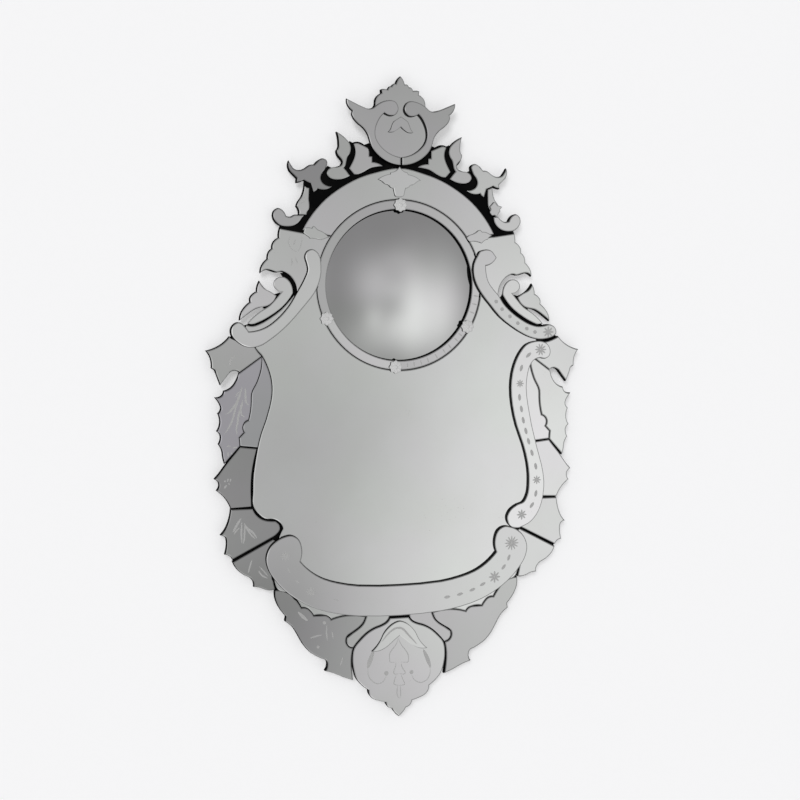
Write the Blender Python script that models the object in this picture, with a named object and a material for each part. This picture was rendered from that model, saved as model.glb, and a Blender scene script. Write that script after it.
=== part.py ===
# Wall mirror of the Venetian kind: cut, silvered glass plates on a black board, with raised scrolls.
# The outlines are drawn as a glass cutter's pattern, in millimetres, for a mirror 1500 mm tall:
# x runs from the centre line, z from mid height. Lists of pattern points describe the right half.
import math

import bmesh
import bpy
from mathutils import Vector
from mathutils.geometry import delaunay_2d_cdt

# Driving sizes, in metres
HEIGHT = 1.500               # overall height, crown tip to palmette tip
GLASS = 0.0047               # every flat plate of mirror glass
BOARD = 0.0120               # black painted backing board
RAISED = 0.0092              # raised scrolls and band: mirror glass on a black wooden pad
LEAF = 0.0040                # small leaves that lie on the plates
ROSETTE_RIM = 0.0040         # edge of a rosette
ROSETTE_CROWN = 0.0030       # how far its middle stands above its edge
DOME_GLASS = 0.0040          # wall of the convex mirror
DOME_RISE = 0.0210           # how far the convex mirror bulges
DOME_CLEARANCE = 0.0022      # gap between the convex mirror and the back of the ring strips
CLEAT = 0.0120               # hanging batten on the back
CLEAT_WIDTH = 0.320
CLEAT_HEIGHT = 0.060
CLEAT_DROP = 0.420           # from the crown tip down to the middle of the batten
SEAT = 0.0003                # gap between a piece and what it rests on

# Pattern sizes, in millimetres at the pattern's height
PATTERN_HEIGHT = 1500.0
JOINT = 2.2                  # black line between two neighbouring plates
BOARD_MARGIN = 1.5           # board showing round a plate
TULIP_MARGIN = 4.0           # board showing round the two tulips
SCROLL_INSET = 5.0           # board held back behind the head of a small scroll
RING_Z = 270.4               # height of the round mirror's centre
RING_JOINT = 197.4           # joint between the ring and the plates round it
RING_STRIP = 21.4            # from that joint to the inner edge of the ring strips
DOME_LAP = 7.0               # the convex mirror reaches this far under the ring strips
DOME_PLAY = 1.5              # pocket in the board is this much wider than the convex mirror
ROSETTE = 14.6
ROSETTE_PETALS = 8
ROSETTE_WAVE = 1.1
TURN = 29.0                  # a curve gets one more point for this much turn, in degrees
LEFT = -1
RIGHT = 1

PATTERN = HEIGHT / PATTERN_HEIGHT
CROWN_Z = PATTERN_HEIGHT / 2
RING_INNER = RING_JOINT - RING_STRIP
DOME_RADIUS = RING_INNER + DOME_LAP
DOME_BALL = ((DOME_RADIUS * PATTERN) ** 2 + DOME_RISE ** 2) / (2 * DOME_RISE)

# Distances of the layers from the wall
BOARD_BACK = CLEAT + SEAT
BOARD_FRONT = BOARD_BACK + BOARD
PLATE_BACK = BOARD_FRONT + SEAT
PLATE_FRONT = PLATE_BACK + GLASS
RAISED_BACK = PLATE_FRONT + SEAT

# Pattern points. Each list starts at a corner and curves on to the corner that starts the next one.
CREST_PLATE = [
    [(0, 749.5), (5, 744.5), (8.5, 738)],
    [(11, 731.5), (15, 732), (18.5, 729.5)],
    [(21.5, 725.2), (26, 725), (29, 721.5)],
    [(31, 717.6), (36, 718.6)], [(45.8, 717.4)],
    [(44.8, 709.2), (50, 706.3), (55, 702), (59, 695), (60.6, 687)],
    [(61, 681), (67, 674.5), (75, 672.5), (90, 675), (104, 679.5)],
    [(120, 685), (117.5, 675)], [(109, 664)],
    [(110, 656.5), (104, 647.5), (96, 640), (84, 630), (75.5, 619.5), (71, 606), (66.5, 592), (60.5, 580),
     (46, 566), (26, 553.8)],
    [(0, 548.5)],
]
CREST_SCROLL = [
    [(129.5, 691.5), (110, 682.8), (90, 674.3), (76, 670.9), (68.5, 672.6), (59, 680), (47, 687.4),
     (34, 691.6), (24, 692.6), (14, 689.5), (8, 681), (6.5, 673), (10, 664), (18, 658), (26.5, 657),
     (34, 659)],
    [(40.5, 662.3), (48, 654.3), (55.5, 641.5), (60.6, 626), (60.8, 611), (55.5, 597), (45, 584.5),
     (31, 574), (16, 567.3)],
    [(1.2, 564)],
    [(1.2, 545), (20, 547.5), (40, 555.5), (57, 567.5), (69, 581.5), (75.5, 597), (79, 609),
     (85, 619.5), (93.5, 628.5), (106, 638.3), (114.5, 648.5)],
    [(118, 657.2)],
    [(116, 664), (125.5, 673.2), (129.3, 682)],
]
CREST_LEAF = [
    [(0, 657), (9, 651), (16.5, 645.5), (20.5, 637.5), (24, 628.5)],
    [(30, 621.5), (20, 620.8), (9, 626)],
    [(0, 633.5)],
]
TULIP = [
    [(40, 542.5), (48, 547.8), (58, 551)], [(66.5, 552)], [(66.5, 564.5)], [(73.5, 565)],
    [(73.5, 582), (82, 586), (93, 591), (103, 594)],
    [(112, 591.3), (108.5, 582), (107.3, 571), (111, 557), (116.5, 545.5)],
    [(122.3, 535)], [(110.3, 521.6), (102, 521.5), (90, 526)], [(68.5, 537.8), (54, 540.8)],
]
FLAME = [
    [(150, 617), (139, 611), (127, 601.5), (119, 591.5), (116.6, 580.5), (119, 569.5)],
    [(124.8, 560.5), (127.6, 549), (129.5, 541.5)],
    [(133, 536.3), (127, 529.5)],
    [(118.5, 518.5), (130, 512.5), (145, 508.6), (158, 508.8), (168.5, 513), (174.3, 522),
     (171.5, 530.5), (162, 537), (149.5, 538.5), (140.5, 542), (137, 549.5), (142, 557.5), (148.5, 565)],
    [(150.8, 575)], [(146.3, 582.5), (145.8, 593), (147.3, 606)],
]
THISTLE = [
    [(171.5, 546), (174.5, 552.8), (183, 555.8), (192, 552)],
    [(202.5, 541), (213, 540), (225, 532), (236, 527.7), (248, 530), (255, 538.5)],
    [(260.5, 548), (262.7, 537), (258, 524), (250, 516)],
    [(242.5, 509)], [(244, 499.8), (235, 501.5)], [(227, 505.3), (219, 501.3)],
    [(211, 498), (208, 489)], [(204.7, 478), (199, 481.5)], [(194.5, 486.8), (183, 484.5), (169, 487.3)],
    [(159.5, 493.5), (172, 495), (182.5, 501), (187.2, 511), (184.5, 521.5), (177, 531.5)],
]
LEFT_ROD = [
    [(213.5, 488.6), (220, 490)],
    [(225.3, 493.5), (227, 482), (232, 468.5), (237.5, 461)], [(241.3, 454.5)],
    [(243.8, 446)], [(238.5, 437.5)], [(238.5, 427)], [(220, 427)],
    [(219, 433)], [(213.8, 441.5), (213.2, 450), (214.7, 464), (214, 478)],
]
RIGHT_ROD = [
    [(213, 497.5)],
    [(226.3, 503.3), (227.5, 487), (233, 472), (241, 461.5)],
    [(240, 445)], [(238, 436.8)], [(228.5, 436.8)], [(221, 446)], [(215, 456), (213.2, 474)],
]
RIGHT_STAR = [
    [(227.8, 468)], [(222.8, 462)], [(218.3, 457)], [(221, 451)], [(218.3, 445)], [(220.3, 440)],
    [(225.8, 436.6)], [(230.8, 437.4)], [(234.8, 434.6)], [(238.1, 438)], [(239.6, 442)],
    [(243.6, 445)], [(243.3, 451)], [(248.5, 457)], [(242.5, 459)], [(236.6, 460.5)], [(232.6, 465)],
]
CURL_TOP = {LEFT: [[(240, 427)], [(224.8, 427)]], RIGHT: [[(241, 434.5)], [(228.4, 434.5)]]}
CURL = [
    [(230, 421), (240, 408.3), (252, 401.6), (266, 399.8)],
    [(281.5, 402.5), (291.5, 410), (297.6, 422.5), (295, 435), (285.5, 441.3), (276, 437.5)],
    [(267.3, 424.3), (257.5, 422.5), (248.5, 427)],
]
SHOULDER_EDGE = [
    [(230, 387.2)], [(282, 395.8), (284.3, 386)],
    [(284.5, 375), (293, 369.2), (298.7, 360)],
    [(299.5, 350.5), (306.5, 343.8), (309.8, 335)],
    [(310.3, 327), (319.5, 317.5), (325.3, 306)],
    [(326.3, 295), (319, 300.5), (310, 302.5), (300, 300.5)],
    [(288, 297)], [(278, 299), (266, 294.2), (253, 281.5), (245.3, 266.5)],
    [(243, 253), (239, 246)], [(228, 250), (211, 267)],
]
SMALL_SCROLL = [
    [(279.5, 252.5), (290, 256.5), (297, 266), (296, 277.5), (286, 286.7), (273, 287.2), (261, 279),
     (253.5, 265), (252, 250), (263, 233.5), (281, 214.5), (305, 197.5), (330, 184), (346, 179)],
    [(357.5, 181.5), (347, 193.5), (328, 209), (306, 223), (291, 239)],
]
SIDE_LEAF = [
    [(328.5, 277), (333.3, 266)],
    [(335, 253), (344, 247.5), (350, 238.5)],
    [(349.7, 229.5), (361, 219.5), (370.5, 205)],
    [(373.8, 188.5), (358, 200.8), (338, 214)], [(306, 223), (296, 232.5)],
    [(289.5, 244.8), (303, 254), (318, 262)],
]
LEFT_FILLET = [
    [(248.5, 247.5), (261.8, 232.5), (280, 213.2), (303.5, 195.6), (328.5, 181), (345, 176)],
    [(358.8, 178.3)], [(364, 168)],
    [(358, 157.5), (341, 157.5), (318, 164), (288, 184), (264, 208), (248, 232)],
]
RIGHT_LONG_SCROLL = [
    [(190, 349.4), (200, 354.9), (210, 356.4), (221.6, 353.4), (229.6, 344.5)],
    [(234.6, 337.5), (222, 323)],
    [(207.7, 317.6), (208.9, 303), (214.5, 281.5), (228.6, 261.8), (239.6, 249.8), (251.5, 230.9),
     (273, 209.5), (296.4, 193), (319, 181.3), (341.2, 176), (357, 177.8), (368.5, 180.5), (380, 177),
     (387, 168.5), (387.3, 158.5), (377, 150), (361, 145.6), (346, 144.2), (328, 147), (305, 156),
     (272, 175.6), (242, 198.5), (218, 226), (198, 250), (183.5, 274), (176.8, 297), (177.5, 323)],
]
LEFT_LONG_SCROLL = [
    [(354.4, 163.1)],
    [(365.4, 177), (371, 182), (378.5, 184), (387, 179.8), (394, 169), (393.3, 155), (382, 141),
     (367, 131), (350, 127), (330, 130), (301.6, 147.1), (274, 169.5), (246, 198.5), (221, 228),
     (204, 250), (193, 274), (187.8, 298), (189, 326), (197, 343.5), (209, 350), (220, 346),
     (225.9, 333.5), (222, 317)],
    [(219.6, 306), (226.9, 282.7), (241.8, 255.8), (256.7, 229.9), (273, 208.5), (293, 188.7),
     (314, 173.8), (334, 166)],
]
RIGHT_S_SCROLL = [
    [(330, 140), (311, 133), (297, 118), (284, 94), (275, 63), (272, 30), (275.5, -12), (287, -62),
     (304, -108), (315.5, -152), (319.5, -196), (315, -231), (307, -245), (290, -252), (272.5, -265),
     (264.7, -283), (268.7, -298), (281, -308), (298, -309), (320, -300), (338, -283.5), (351, -260),
     (358.5, -230), (360.3, -197), (354, -158), (340, -110), (327, -60), (317.6, -12.5), (312.8, 28),
     (315.5, 60), (323, 84)],
    [(333, 95.5), (346, 99.5), (360, 97.8), (370.5, 104), (373.3, 118), (364, 135), (347, 141)],
]
LOBE_1 = [
    [(397, 152), (405, 143), (416, 134), (430, 126.3)],
    [(450, 120), (442.5, 109.5), (438.7, 98.7)],
    [(437.8, 81), (430.5, 76.5), (427, 66)],
    [(418.3, 43.2), (408, 56), (398, 69.5), (388, 75), (380.5, 74.6)],
    [(375, 70.5)], [(323.5, 107.5)], [(339, 127.5)],
    [(344, 138), (358, 138.3), (372, 141), (386, 146.5)],
]
LOBE_2_OUTER = [
    [(375, 70.5), (380.5, 56), (389, 42), (400, 33)],
    [(410.5, 29.3), (413, 21.5)],
    [(430.5, 14.6), (421.5, 2.5), (417.3, -11)],
    [(424, -21.6), (419.7, -36), (421, -50)],
    [(426.8, -61.8), (419, -71)], [(418.8, -79)],
    [(423.2, -91.2), (416, -104), (413.3, -122)],
]
LOBE_2_INNER = [
    [(323.5, 107.5), (326, 78), (334.5, 51)],
    [(348, 22), (348.6, 5), (350.5, -16)],
    [(355, -37), (364, -42.5), (368.3, -53)],
    [(365, -64.5)], [(376.5, -76.5), (375.5, -86)],
]
LOBE_2_TIP = (410, -134.8)
LOBE_3_CORNER = (375, -95.8)
INNER_LOBE_FOOT = (334.5, -100.2)
MAIN_SIDE = [(326, -67), (315, -37), (306.7, -8), (301.5, 19), (302.2, 50.7), (310, 80)]
LOBE_3 = [
    [(336.5, -102)],
    [(374.5, -97.3), (386, -111.5), (400, -128)],
    [(412.5, -144.5), (422, -157.5)],
    [(433, -169.8), (424, -177.5), (423, -186.5)],
    [(428.3, -196.2), (411, -212)],
    [(396.5, -237)], [(349.5, -235)],
    [(350.5, -200), (348.5, -160), (343, -128)],
]
LOBE_4 = [
    [(396.5, -239), (398.5, -253), (402.5, -269), (409, -284)],
    [(420, -298), (408.5, -303.5), (406.3, -315), (407.5, -330)],
    [(410.5, -342.6), (400, -346)],
    [(393.5, -354.5)], [(300, -306.5)],
    [(290, -299), (284, -289), (286, -278), (296, -269.5), (313, -268), (327, -263), (339, -253)],
    [(347, -239)],
]
LOBE_5 = [
    [(301, -311.5)],
    [(393.2, -359.8), (385.5, -375), (370, -389.3), (352, -400)],
    [(346, -409)], [(345, -420.3), (332, -422), (316, -428.5), (304, -430)],
    [(296, -428), (301, -403), (303.5, -372), (299, -342), (291, -320)],
]
LOBE_6 = [
    [(296, -429.5), (296.5, -446), (291.5, -463), (283, -478)],
    [(271, -493)], [(273, -504.5), (258, -516.5), (244.5, -537.5), (231.5, -561), (211, -583.5)],
    [(187, -597.5), (176, -603.5), (173.7, -615)],
    [(179, -627.8), (158, -634.5), (134, -646)],
    [(112, -654.5), (115, -630), (116, -603)],
    [(112, -576.7), (122, -573.5), (128.8, -563), (127, -550), (114, -540), (99.5, -530.5), (87.5, -518.5)],
    [(81, -503)], [(140, -499.8)], [(165, -506), (171.5, -498.5), (181, -495)],
    [(206, -494.5), (212.5, -484.5), (221, -476.5)],
    [(235, -474.5)], [(246, -457)], [(264, -437.5)],
]
BAND_TOP = [
    [(0, -432), (50, -431.3), (100, -428), (150, -418.5), (183, -407.5), (212, -390)],
    [(238, -364.5), (234, -349), (235, -331), (243, -312), (258, -303.3), (276, -305.5), (296, -315.5),
     (311.5, -333), (318, -356), (313.5, -379), (298, -405), (276, -430), (244, -455), (200, -478),
     (150, -493), (100, -501), (50, -504.6), (0, -505.5)],
]
COLLAR = [
    [(24, -509), (31, -519.5), (43, -526.5), (60, -532.3), (77, -541.5), (94, -556)],
    [(111.5, -576.5), (121.5, -573), (128.2, -563), (126.5, -550.5), (113.5, -541), (99, -531.5),
     (87, -519.5)],
    [(80, -503)], [(80, -497)], [(24, -499)],
]
PALMETTE = [
    [(0, -511.5)],
    [(23, -511.5), (31, -521.5), (43, -528), (60, -533.8), (77, -543), (94, -558)],
    [(110, -577.5), (114, -600), (111.5, -628), (104, -652), (91.5, -667.5)],
    [(75, -680.3), (73, -692), (64, -702.5), (49, -709)],
    [(32.5, -713.8), (28.5, -723.5)], [(17, -729.8), (12.5, -737.5), (5, -745.3)],
    [(0, -750)],
]
PALMETTE_LEAF = [
    [(0, -519.5), (13, -523.3), (28, -534), (38.5, -547), (46, -562.5), (56, -576.5)],
    [(68, -588), (50, -587.5), (30, -578), (13, -563.8)],
    [(0, -553.5)],
]
ARCH_LEAF = [
    [(0, 542.5), (3.5, 538)], [(8.5, 533.5), (14, 531.5)], [(19.5, 529.5)], [(21, 525.3), (36, 521.5)],
    [(51, 512.7), (43, 509.3), (35, 503)], [(26, 500)], [(21.5, 495.5)],
    [(14.5, 493.3), (12.3, 484), (9.3, 475.3)], [(5, 473.8)], [(0, 473.3)],
]
ARCH_LEAF_SHIFT = -3.0
SPRIG = {
    LEFT: [
        [(169, 376.6), (173.4, 381.5), (180.8, 387.7)], [(188.2, 391.6)], [(197, 395.4), (201, 400)],
        [(205.1, 402.4)], [(208.8, 397.2), (217.6, 399)], [(226, 397.5)], [(226.5, 391)],
        [(228.5, 386.2), (222, 382)], [(216.2, 377.7)], [(212.6, 374.3), (200.1, 374.2)], [(188.3, 371.9)],
        [(181, 373.2), (174.8, 375.8)],
    ],
    RIGHT: [
        [(160.2, 383), (165.8, 388.2), (177, 392.4)], [(184.6, 396.5), (189.5, 400.5)], [(194.5, 402)],
        [(198.8, 397.4), (207.5, 397)], [(218, 392.4)], [(223.5, 388.6)], [(216.1, 384.2)],
        [(213.4, 379.6), (208, 378.4)], [(203.9, 376)], [(199, 370.9)], [(192, 373.2), (181, 374.8), (168.7, 374.9)],
    ],
}
ARCH_CREST = [(0, 540.5), (20, 538.7), (45, 532.8), (72, 525), (100, 514.5), (127, 500.5), (152, 484.5),
              (176, 465.5), (198, 442.5), (217, 417)]
ARCH_END = (231, 392.5)
MAIN_TOP = [(207, 262), (225, 237), (250, 205), (280, 177), (305, 161.5), (328, 151)]
MAIN_CORNER = (340, 147)
MAIN_LOW = [
    [(335, -102.5), (340, -130), (344.5, -160), (346, -200)],
    [(345, -236), (333, -253), (318, -264), (299, -265.7), (284, -275), (277.5, -288), (285, -303)],
    [(290, -318), (297, -342), (301.5, -372), (299, -403), (291, -428)],
    [(263, -437)], [(245, -456.5)], [(235, -474)],
]
MAIN_BOTTOM = [[(86, -499.5)], [(84, -495)], [(0, -495)]]
MAIN_JOINT_AT_RING = 1.3     # degrees above the ring's centre where the plates part
SHOULDER_FOOT = 3.6          # the same for the lower end of a shoulder
ARCH_JOINT = 34.0            # and for the joint between arch and shoulder
ROSETTES = {"top": (-0.5, 455.0), "right": (164.0, 174.8), "bottom": (-11.0, 80.5), "left": (-174.5, 192.3)}

# What the board fills behind and between the plates, drawn through the middle of the pieces
BOARD_CORE = [
    (0, 640), (60, 600), (100, 585), (113, 595), (119, 597.5), (125, 575), (131, 540), (138, 524),
    (170, 540), (188, 512), (209, 501), (225, 502),
    (226, 484), (236, 455), (234, 424), (262, 408), (280, 402), (283, 395), (285, 350), (240, 330), (228, 275),
    (247, 240), (300, 190), (345, 160), (385, 158), (394, 151.5), (404, 128), (392, 84), (372, 73), (372, 60),
    (396, 5), (396, -90), (407.5, -134), (404, -170), (394.5, -237), (396, -262), (400, -320),
    (391, -359.6), (348, -396), (294, -429), (284, -460), (250, -500), (200, -575), (140, -632),
    (104, -618), (60, -690), (0, -730),
]
SCROLL_CORE = [
    (262, 262), (264, 246), (284, 222), (310, 204), (340, 188), (351, 183), (363, 177), (340, 160),
    (290, 190), (262, 222), (247, 240),
]
LEFT_CRESCENT_CORE = [
    (279, 296), (261, 296), (245, 284), (238, 266), (236, 250), (247, 240), (256, 248), (258, 263), (264, 276),
    (273, 286),
]
LEAF_CORE = [(280, 251.5), (283, 232), (303, 212), (320, 216), (306, 238), (292, 248.5)]


# Outlines
def curve_piece(points):
    """Points along a smooth curve through the given ones, closer together where it turns more."""
    places = [Vector(p) for p in points]
    if len(places) < 3:
        return places
    spans = [(b - a).length for a, b in zip(places, places[1:])]
    ways = []
    for k in range(1, len(places) - 1):
        before = (places[k] - places[k - 1]) / spans[k - 1]
        after = (places[k + 1] - places[k]) / spans[k]
        ways.append((before * spans[k] + after * spans[k - 1]) / (spans[k] + spans[k - 1]))
    first = 2 * (places[1] - places[0]) / spans[0] - ways[0]
    last = 2 * (places[-1] - places[-2]) / spans[-1] - ways[-1]
    ways = [first] + ways + [last]
    out = [places[0]]
    for a, b, wa, wb, span in zip(places, places[1:], ways, ways[1:], spans):
        steps = max(1, math.ceil(math.degrees(wa.angle(wb)) / TURN))
        for step in range(1, steps + 1):
            t = step / steps
            bend = (2 * t ** 3 - 3 * t ** 2 + 1) * a + (3 * t ** 2 - 2 * t ** 3) * b
            swing = (t ** 3 - 2 * t ** 2 + t) * wa + (t ** 3 - t ** 2) * wb
            out.append(bend + swing * span)
    return out


def open_path(stretches):
    """A run of curves between corners, ending at the last point given."""
    out = []
    for stretch, following in zip(stretches, stretches[1:]):
        out += curve_piece(list(stretch) + [following[0]])[:-1]
    out += curve_piece(stretches[-1])
    return out


def closed_path(stretches):
    """A closed outline whose last curve runs back to the first corner."""
    return open_path(list(stretches) + [[stretches[0][0]]])[:-1]


def both_halves(stretches):
    """A closed outline from a right half that starts and ends on the centre line."""
    half = open_path(stretches)
    return half + [Vector((-p.x, p.y)) for p in reversed(half[1:-1])]


def flipped(outline, side):
    """The outline on the side asked for; pattern points are on the right."""
    return [Vector((side * p.x, p.y)) for p in outline]


def ring_points(radius, start, end, step=7.5):
    """Points on a circle round the convex mirror's centre; angles in degrees from the right."""
    count = max(1, math.ceil(abs(end - start) / step))
    angles = [math.radians(start + (end - start) * k / count) for k in range(count + 1)]
    return [(radius * math.cos(a), RING_Z + radius * math.sin(a)) for a in angles]


def signed_area(outline):
    return 0.5 * sum(a.cross(b) for a, b in zip(outline, outline[1:] + outline[:1]))


def grown(outline, amount):
    """The outline moved outwards by an amount, or inwards by a negative one."""
    turn = 1.0 if signed_area(outline) > 0 else -1.0
    out = []
    for before, here, after in zip(outline[-1:] + outline[:-1], outline, outline[1:] + outline[:1]):
        way_in = (here - before).normalized()
        way_out = (after - here).normalized()
        normal_in = Vector((way_in.y, -way_in.x)) * turn
        normal_out = Vector((way_out.y, -way_out.x)) * turn
        middle = normal_in + normal_out
        if middle.length < 0.2:
            middle = normal_in
        middle.normalize()
        out.append(here + middle * amount / max(0.45, middle.dot(normal_in)))
    return out


def dome_bulge(radius):
    """How far the convex mirror stands above its rim at a pattern radius, in metres."""
    return math.sqrt(DOME_BALL ** 2 - (radius * PATTERN) ** 2) - DOME_BALL + DOME_RISE


def dome_rim():
    """Distance of the convex mirror's front edge from the wall, which keeps it clear of the strips."""
    return PLATE_BACK - DOME_CLEARANCE - dome_bulge(RING_INNER)


# Materials
def material(name, colour, roughness, metallic):
    made = bpy.data.materials.new(name)
    made.use_nodes = True
    shader = made.node_tree.nodes["Principled BSDF"]
    shader.inputs["Base Color"].default_value = (*colour, 1.0)
    shader.inputs["Roughness"].default_value = roughness
    shader.inputs["Metallic"].default_value = metallic
    made.diffuse_color = (*colour, 1.0)
    return made


def silvered(name):
    return material(name, (0.72, 0.73, 0.74), 0.05, 1.0)


def black_paint(name):
    return material(name, (0.012, 0.012, 0.012), 0.45, 0.0)


# Solids
def place(x, z, distance):
    """World place of a pattern point that far out from the wall."""
    return Vector((x * PATTERN, -distance, (z - CROWN_Z) * PATTERN + CLEAT_DROP))


def add_object(name, mesh_data, look):
    bmesh.ops.recalc_face_normals(mesh_data, faces=mesh_data.faces)
    mesh = bpy.data.meshes.new(name)
    mesh_data.to_mesh(mesh)
    mesh_data.free()
    mesh.materials.append(look)
    made = bpy.data.objects.new(name, mesh)
    bpy.context.scene.collection.objects.link(made)
    return made


def plate(name, outline, back, thickness, look):
    """A flat piece cut to an outline, between two distances from the wall."""
    bm = bmesh.new()
    rear = [bm.verts.new(place(p.x, p.y, back)) for p in outline]
    front = [bm.verts.new(place(p.x, p.y, back + thickness)) for p in outline]
    bm.faces.new(rear)
    bm.faces.new(front)
    for k in range(len(outline)):
        following = (k + 1) % len(outline)
        bm.faces.new((rear[k], rear[following], front[following], front[k]))
    return add_object(name, bm, look)


def glass_plate(name, outline):
    """A plate on the board, cut back by half a joint all round."""
    return plate(name, grown(outline, -JOINT / 2), PLATE_BACK, GLASS, silvered(name + "_mirror"))


def raised_plate(name, outline):
    return plate(name, outline, RAISED_BACK, RAISED, silvered(name + "_mirror"))


def leaf_plate(name, outline, back=RAISED_BACK):
    return plate(name, outline, back, LEAF, silvered(name + "_mirror"))


def turned(name, profile, look, segments, centre_z):
    """A closed profile of (radius, distance from the wall), turned about the dome's axis."""
    bm = bmesh.new()
    rings = []
    for radius, distance in profile:
        if radius == 0.0:
            rings.append([bm.verts.new(place(0, centre_z, distance))])
            continue
        ring = []
        for k in range(segments):
            angle = 2 * math.pi * k / segments
            ring.append(bm.verts.new(place(radius * math.cos(angle), centre_z + radius * math.sin(angle),
                                           distance)))
        rings.append(ring)
    for inner, outer in zip(rings, rings[1:]):
        for k in range(segments):
            following = (k + 1) % segments
            corners = [inner[k % len(inner)], outer[k % len(outer)], outer[following % len(outer)],
                       inner[following % len(inner)]]
            bm.faces.new(list(dict.fromkeys(corners)))
    made = add_object(name, bm, look)
    made.data.shade_smooth()
    made.data.set_sharp_from_angle(angle=math.radians(40))
    return made


# The board: one sheet, sawn to the outline of all the plates together
def union_loops(outlines):
    """Boundary loops of the area that the outlines cover together."""
    points = []
    faces = []
    for outline in outlines:
        faces.append(list(range(len(points), len(points) + len(outline))))
        points += outline
    cut = delaunay_2d_cdt(points, [], faces, 1, 0.01)
    places, triangles, owners = cut[0], cut[2], cut[5]
    once = {}
    for triangle, owner in zip(triangles, owners):
        if not owner:
            continue
        for a, b in zip(triangle, triangle[1:] + triangle[:1]):
            if (b, a) in once:
                del once[(b, a)]
            else:
                once[(a, b)] = True
    following = {}
    for a, b in once:
        following.setdefault(a, []).append(b)
    loops = []
    while following:
        start = next(iter(following))
        loop = []
        here = start
        while here in following:
            onward = following[here].pop()
            if not following[here]:
                del following[here]
            loop.append(here)
            here = onward
        loops.append([places[k] for k in loop])
    return loops


def thinned(loop, tolerance):
    """The loop without the points that lie on the line between their neighbours."""
    kept = list(loop)
    again = True
    while again:
        again = False
        k = 0
        while k < len(kept) and len(kept) > 4:
            a, b, c = kept[k - 1], kept[k], kept[(k + 1) % len(kept)]
            way = c - a
            off = abs(way.cross(b - a)) / max(way.length, 1e-9)
            if off < tolerance and way.length < 60 or (b - a).length < 0.6:
                kept.pop(k)
                again = True
            k += 1
    return kept


def inside(point, loops):
    """Whether an odd number of the loops' edges lies to the right of the point."""
    odd = False
    for loop in loops:
        for a, b in zip(loop, loop[1:] + loop[:1]):
            if (a.y > point.y) != (b.y > point.y):
                if point.x < a.x + (b.x - a.x) * (point.y - a.y) / (b.y - a.y):
                    odd = not odd
    return odd


def board(outlines):
    """The sheet itself, with a round pocket for the convex mirror."""
    loops = [loop for loop in union_loops(outlines) if abs(signed_area(loop)) > 60]
    loops = [thinned(loop, 0.8) for loop in loops]
    pocket = [Vector(p) for p in ring_points(DOME_RADIUS + DOME_PLAY, 0, 360, 9.0)[:-1]]
    pocket_floor = dome_rim() - DOME_GLASS - SEAT
    bm = bmesh.new()

    def sheet(all_loops, distance):
        points = [p for loop in all_loops for p in loop]
        edges = []
        start = 0
        for loop in all_loops:
            count = len(loop)
            edges += [(start + k, start + (k + 1) % count) for k in range(count)]
            start += count
        cut = delaunay_2d_cdt(points, edges, [], 0, 0.001)
        verts = [bm.verts.new(place(p.x, p.y, distance)) for p in cut[0]]
        for triangle in cut[2]:
            middle = sum((cut[0][k] for k in triangle), Vector((0, 0))) / 3
            if inside(middle, all_loops):
                bm.faces.new([verts[k] for k in triangle])

    def wall(loop, near, far):
        low = [bm.verts.new(place(p.x, p.y, near)) for p in loop]
        high = [bm.verts.new(place(p.x, p.y, far)) for p in loop]
        for k in range(len(loop)):
            following = (k + 1) % len(loop)
            bm.faces.new((low[k], low[following], high[following], high[k]))

    sheet(loops, BOARD_BACK)
    sheet(loops + [pocket], BOARD_FRONT)
    sheet([pocket], pocket_floor)
    for loop in loops:
        wall(loop, BOARD_BACK, BOARD_FRONT)
    wall(pocket, pocket_floor, BOARD_FRONT)
    bmesh.ops.remove_doubles(bm, verts=bm.verts, dist=0.00001)
    add_object("backing_board", bm, black_paint("board_black_paint"))


# Pieces round the convex mirror
def convex_mirror():
    front = []
    back = []
    steps = 5
    for k in range(steps + 1):
        radius = DOME_RADIUS * k / steps
        distance = dome_rim() + dome_bulge(radius)
        front.append((radius, distance))
        back.append((radius, distance - DOME_GLASS))
    turned("convex_mirror", front + back[::-1], silvered("convex_mirror_glass"), 36, RING_Z)


def ring_strips():
    """Four curved strips that meet under the rosettes."""
    angles = {}
    for name, (x, z) in ROSETTES.items():
        angles[name] = math.degrees(math.atan2(z - RING_Z, x))
    stops = [("upper_right", angles["right"], angles["top"]),
             ("upper_left", angles["top"], angles["left"]),
             ("lower_left", angles["left"] % 360, angles["bottom"] % 360),
             ("lower_right", angles["bottom"], angles["right"])]
    for name, start, end in stops:
        if end < start:
            end += 360
        outer = ring_points(RING_JOINT, start, end)
        inner = ring_points(RING_INNER - JOINT / 2, end, start)
        glass_plate("ring_strip_" + name, [Vector(p) for p in outer + inner])


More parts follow.
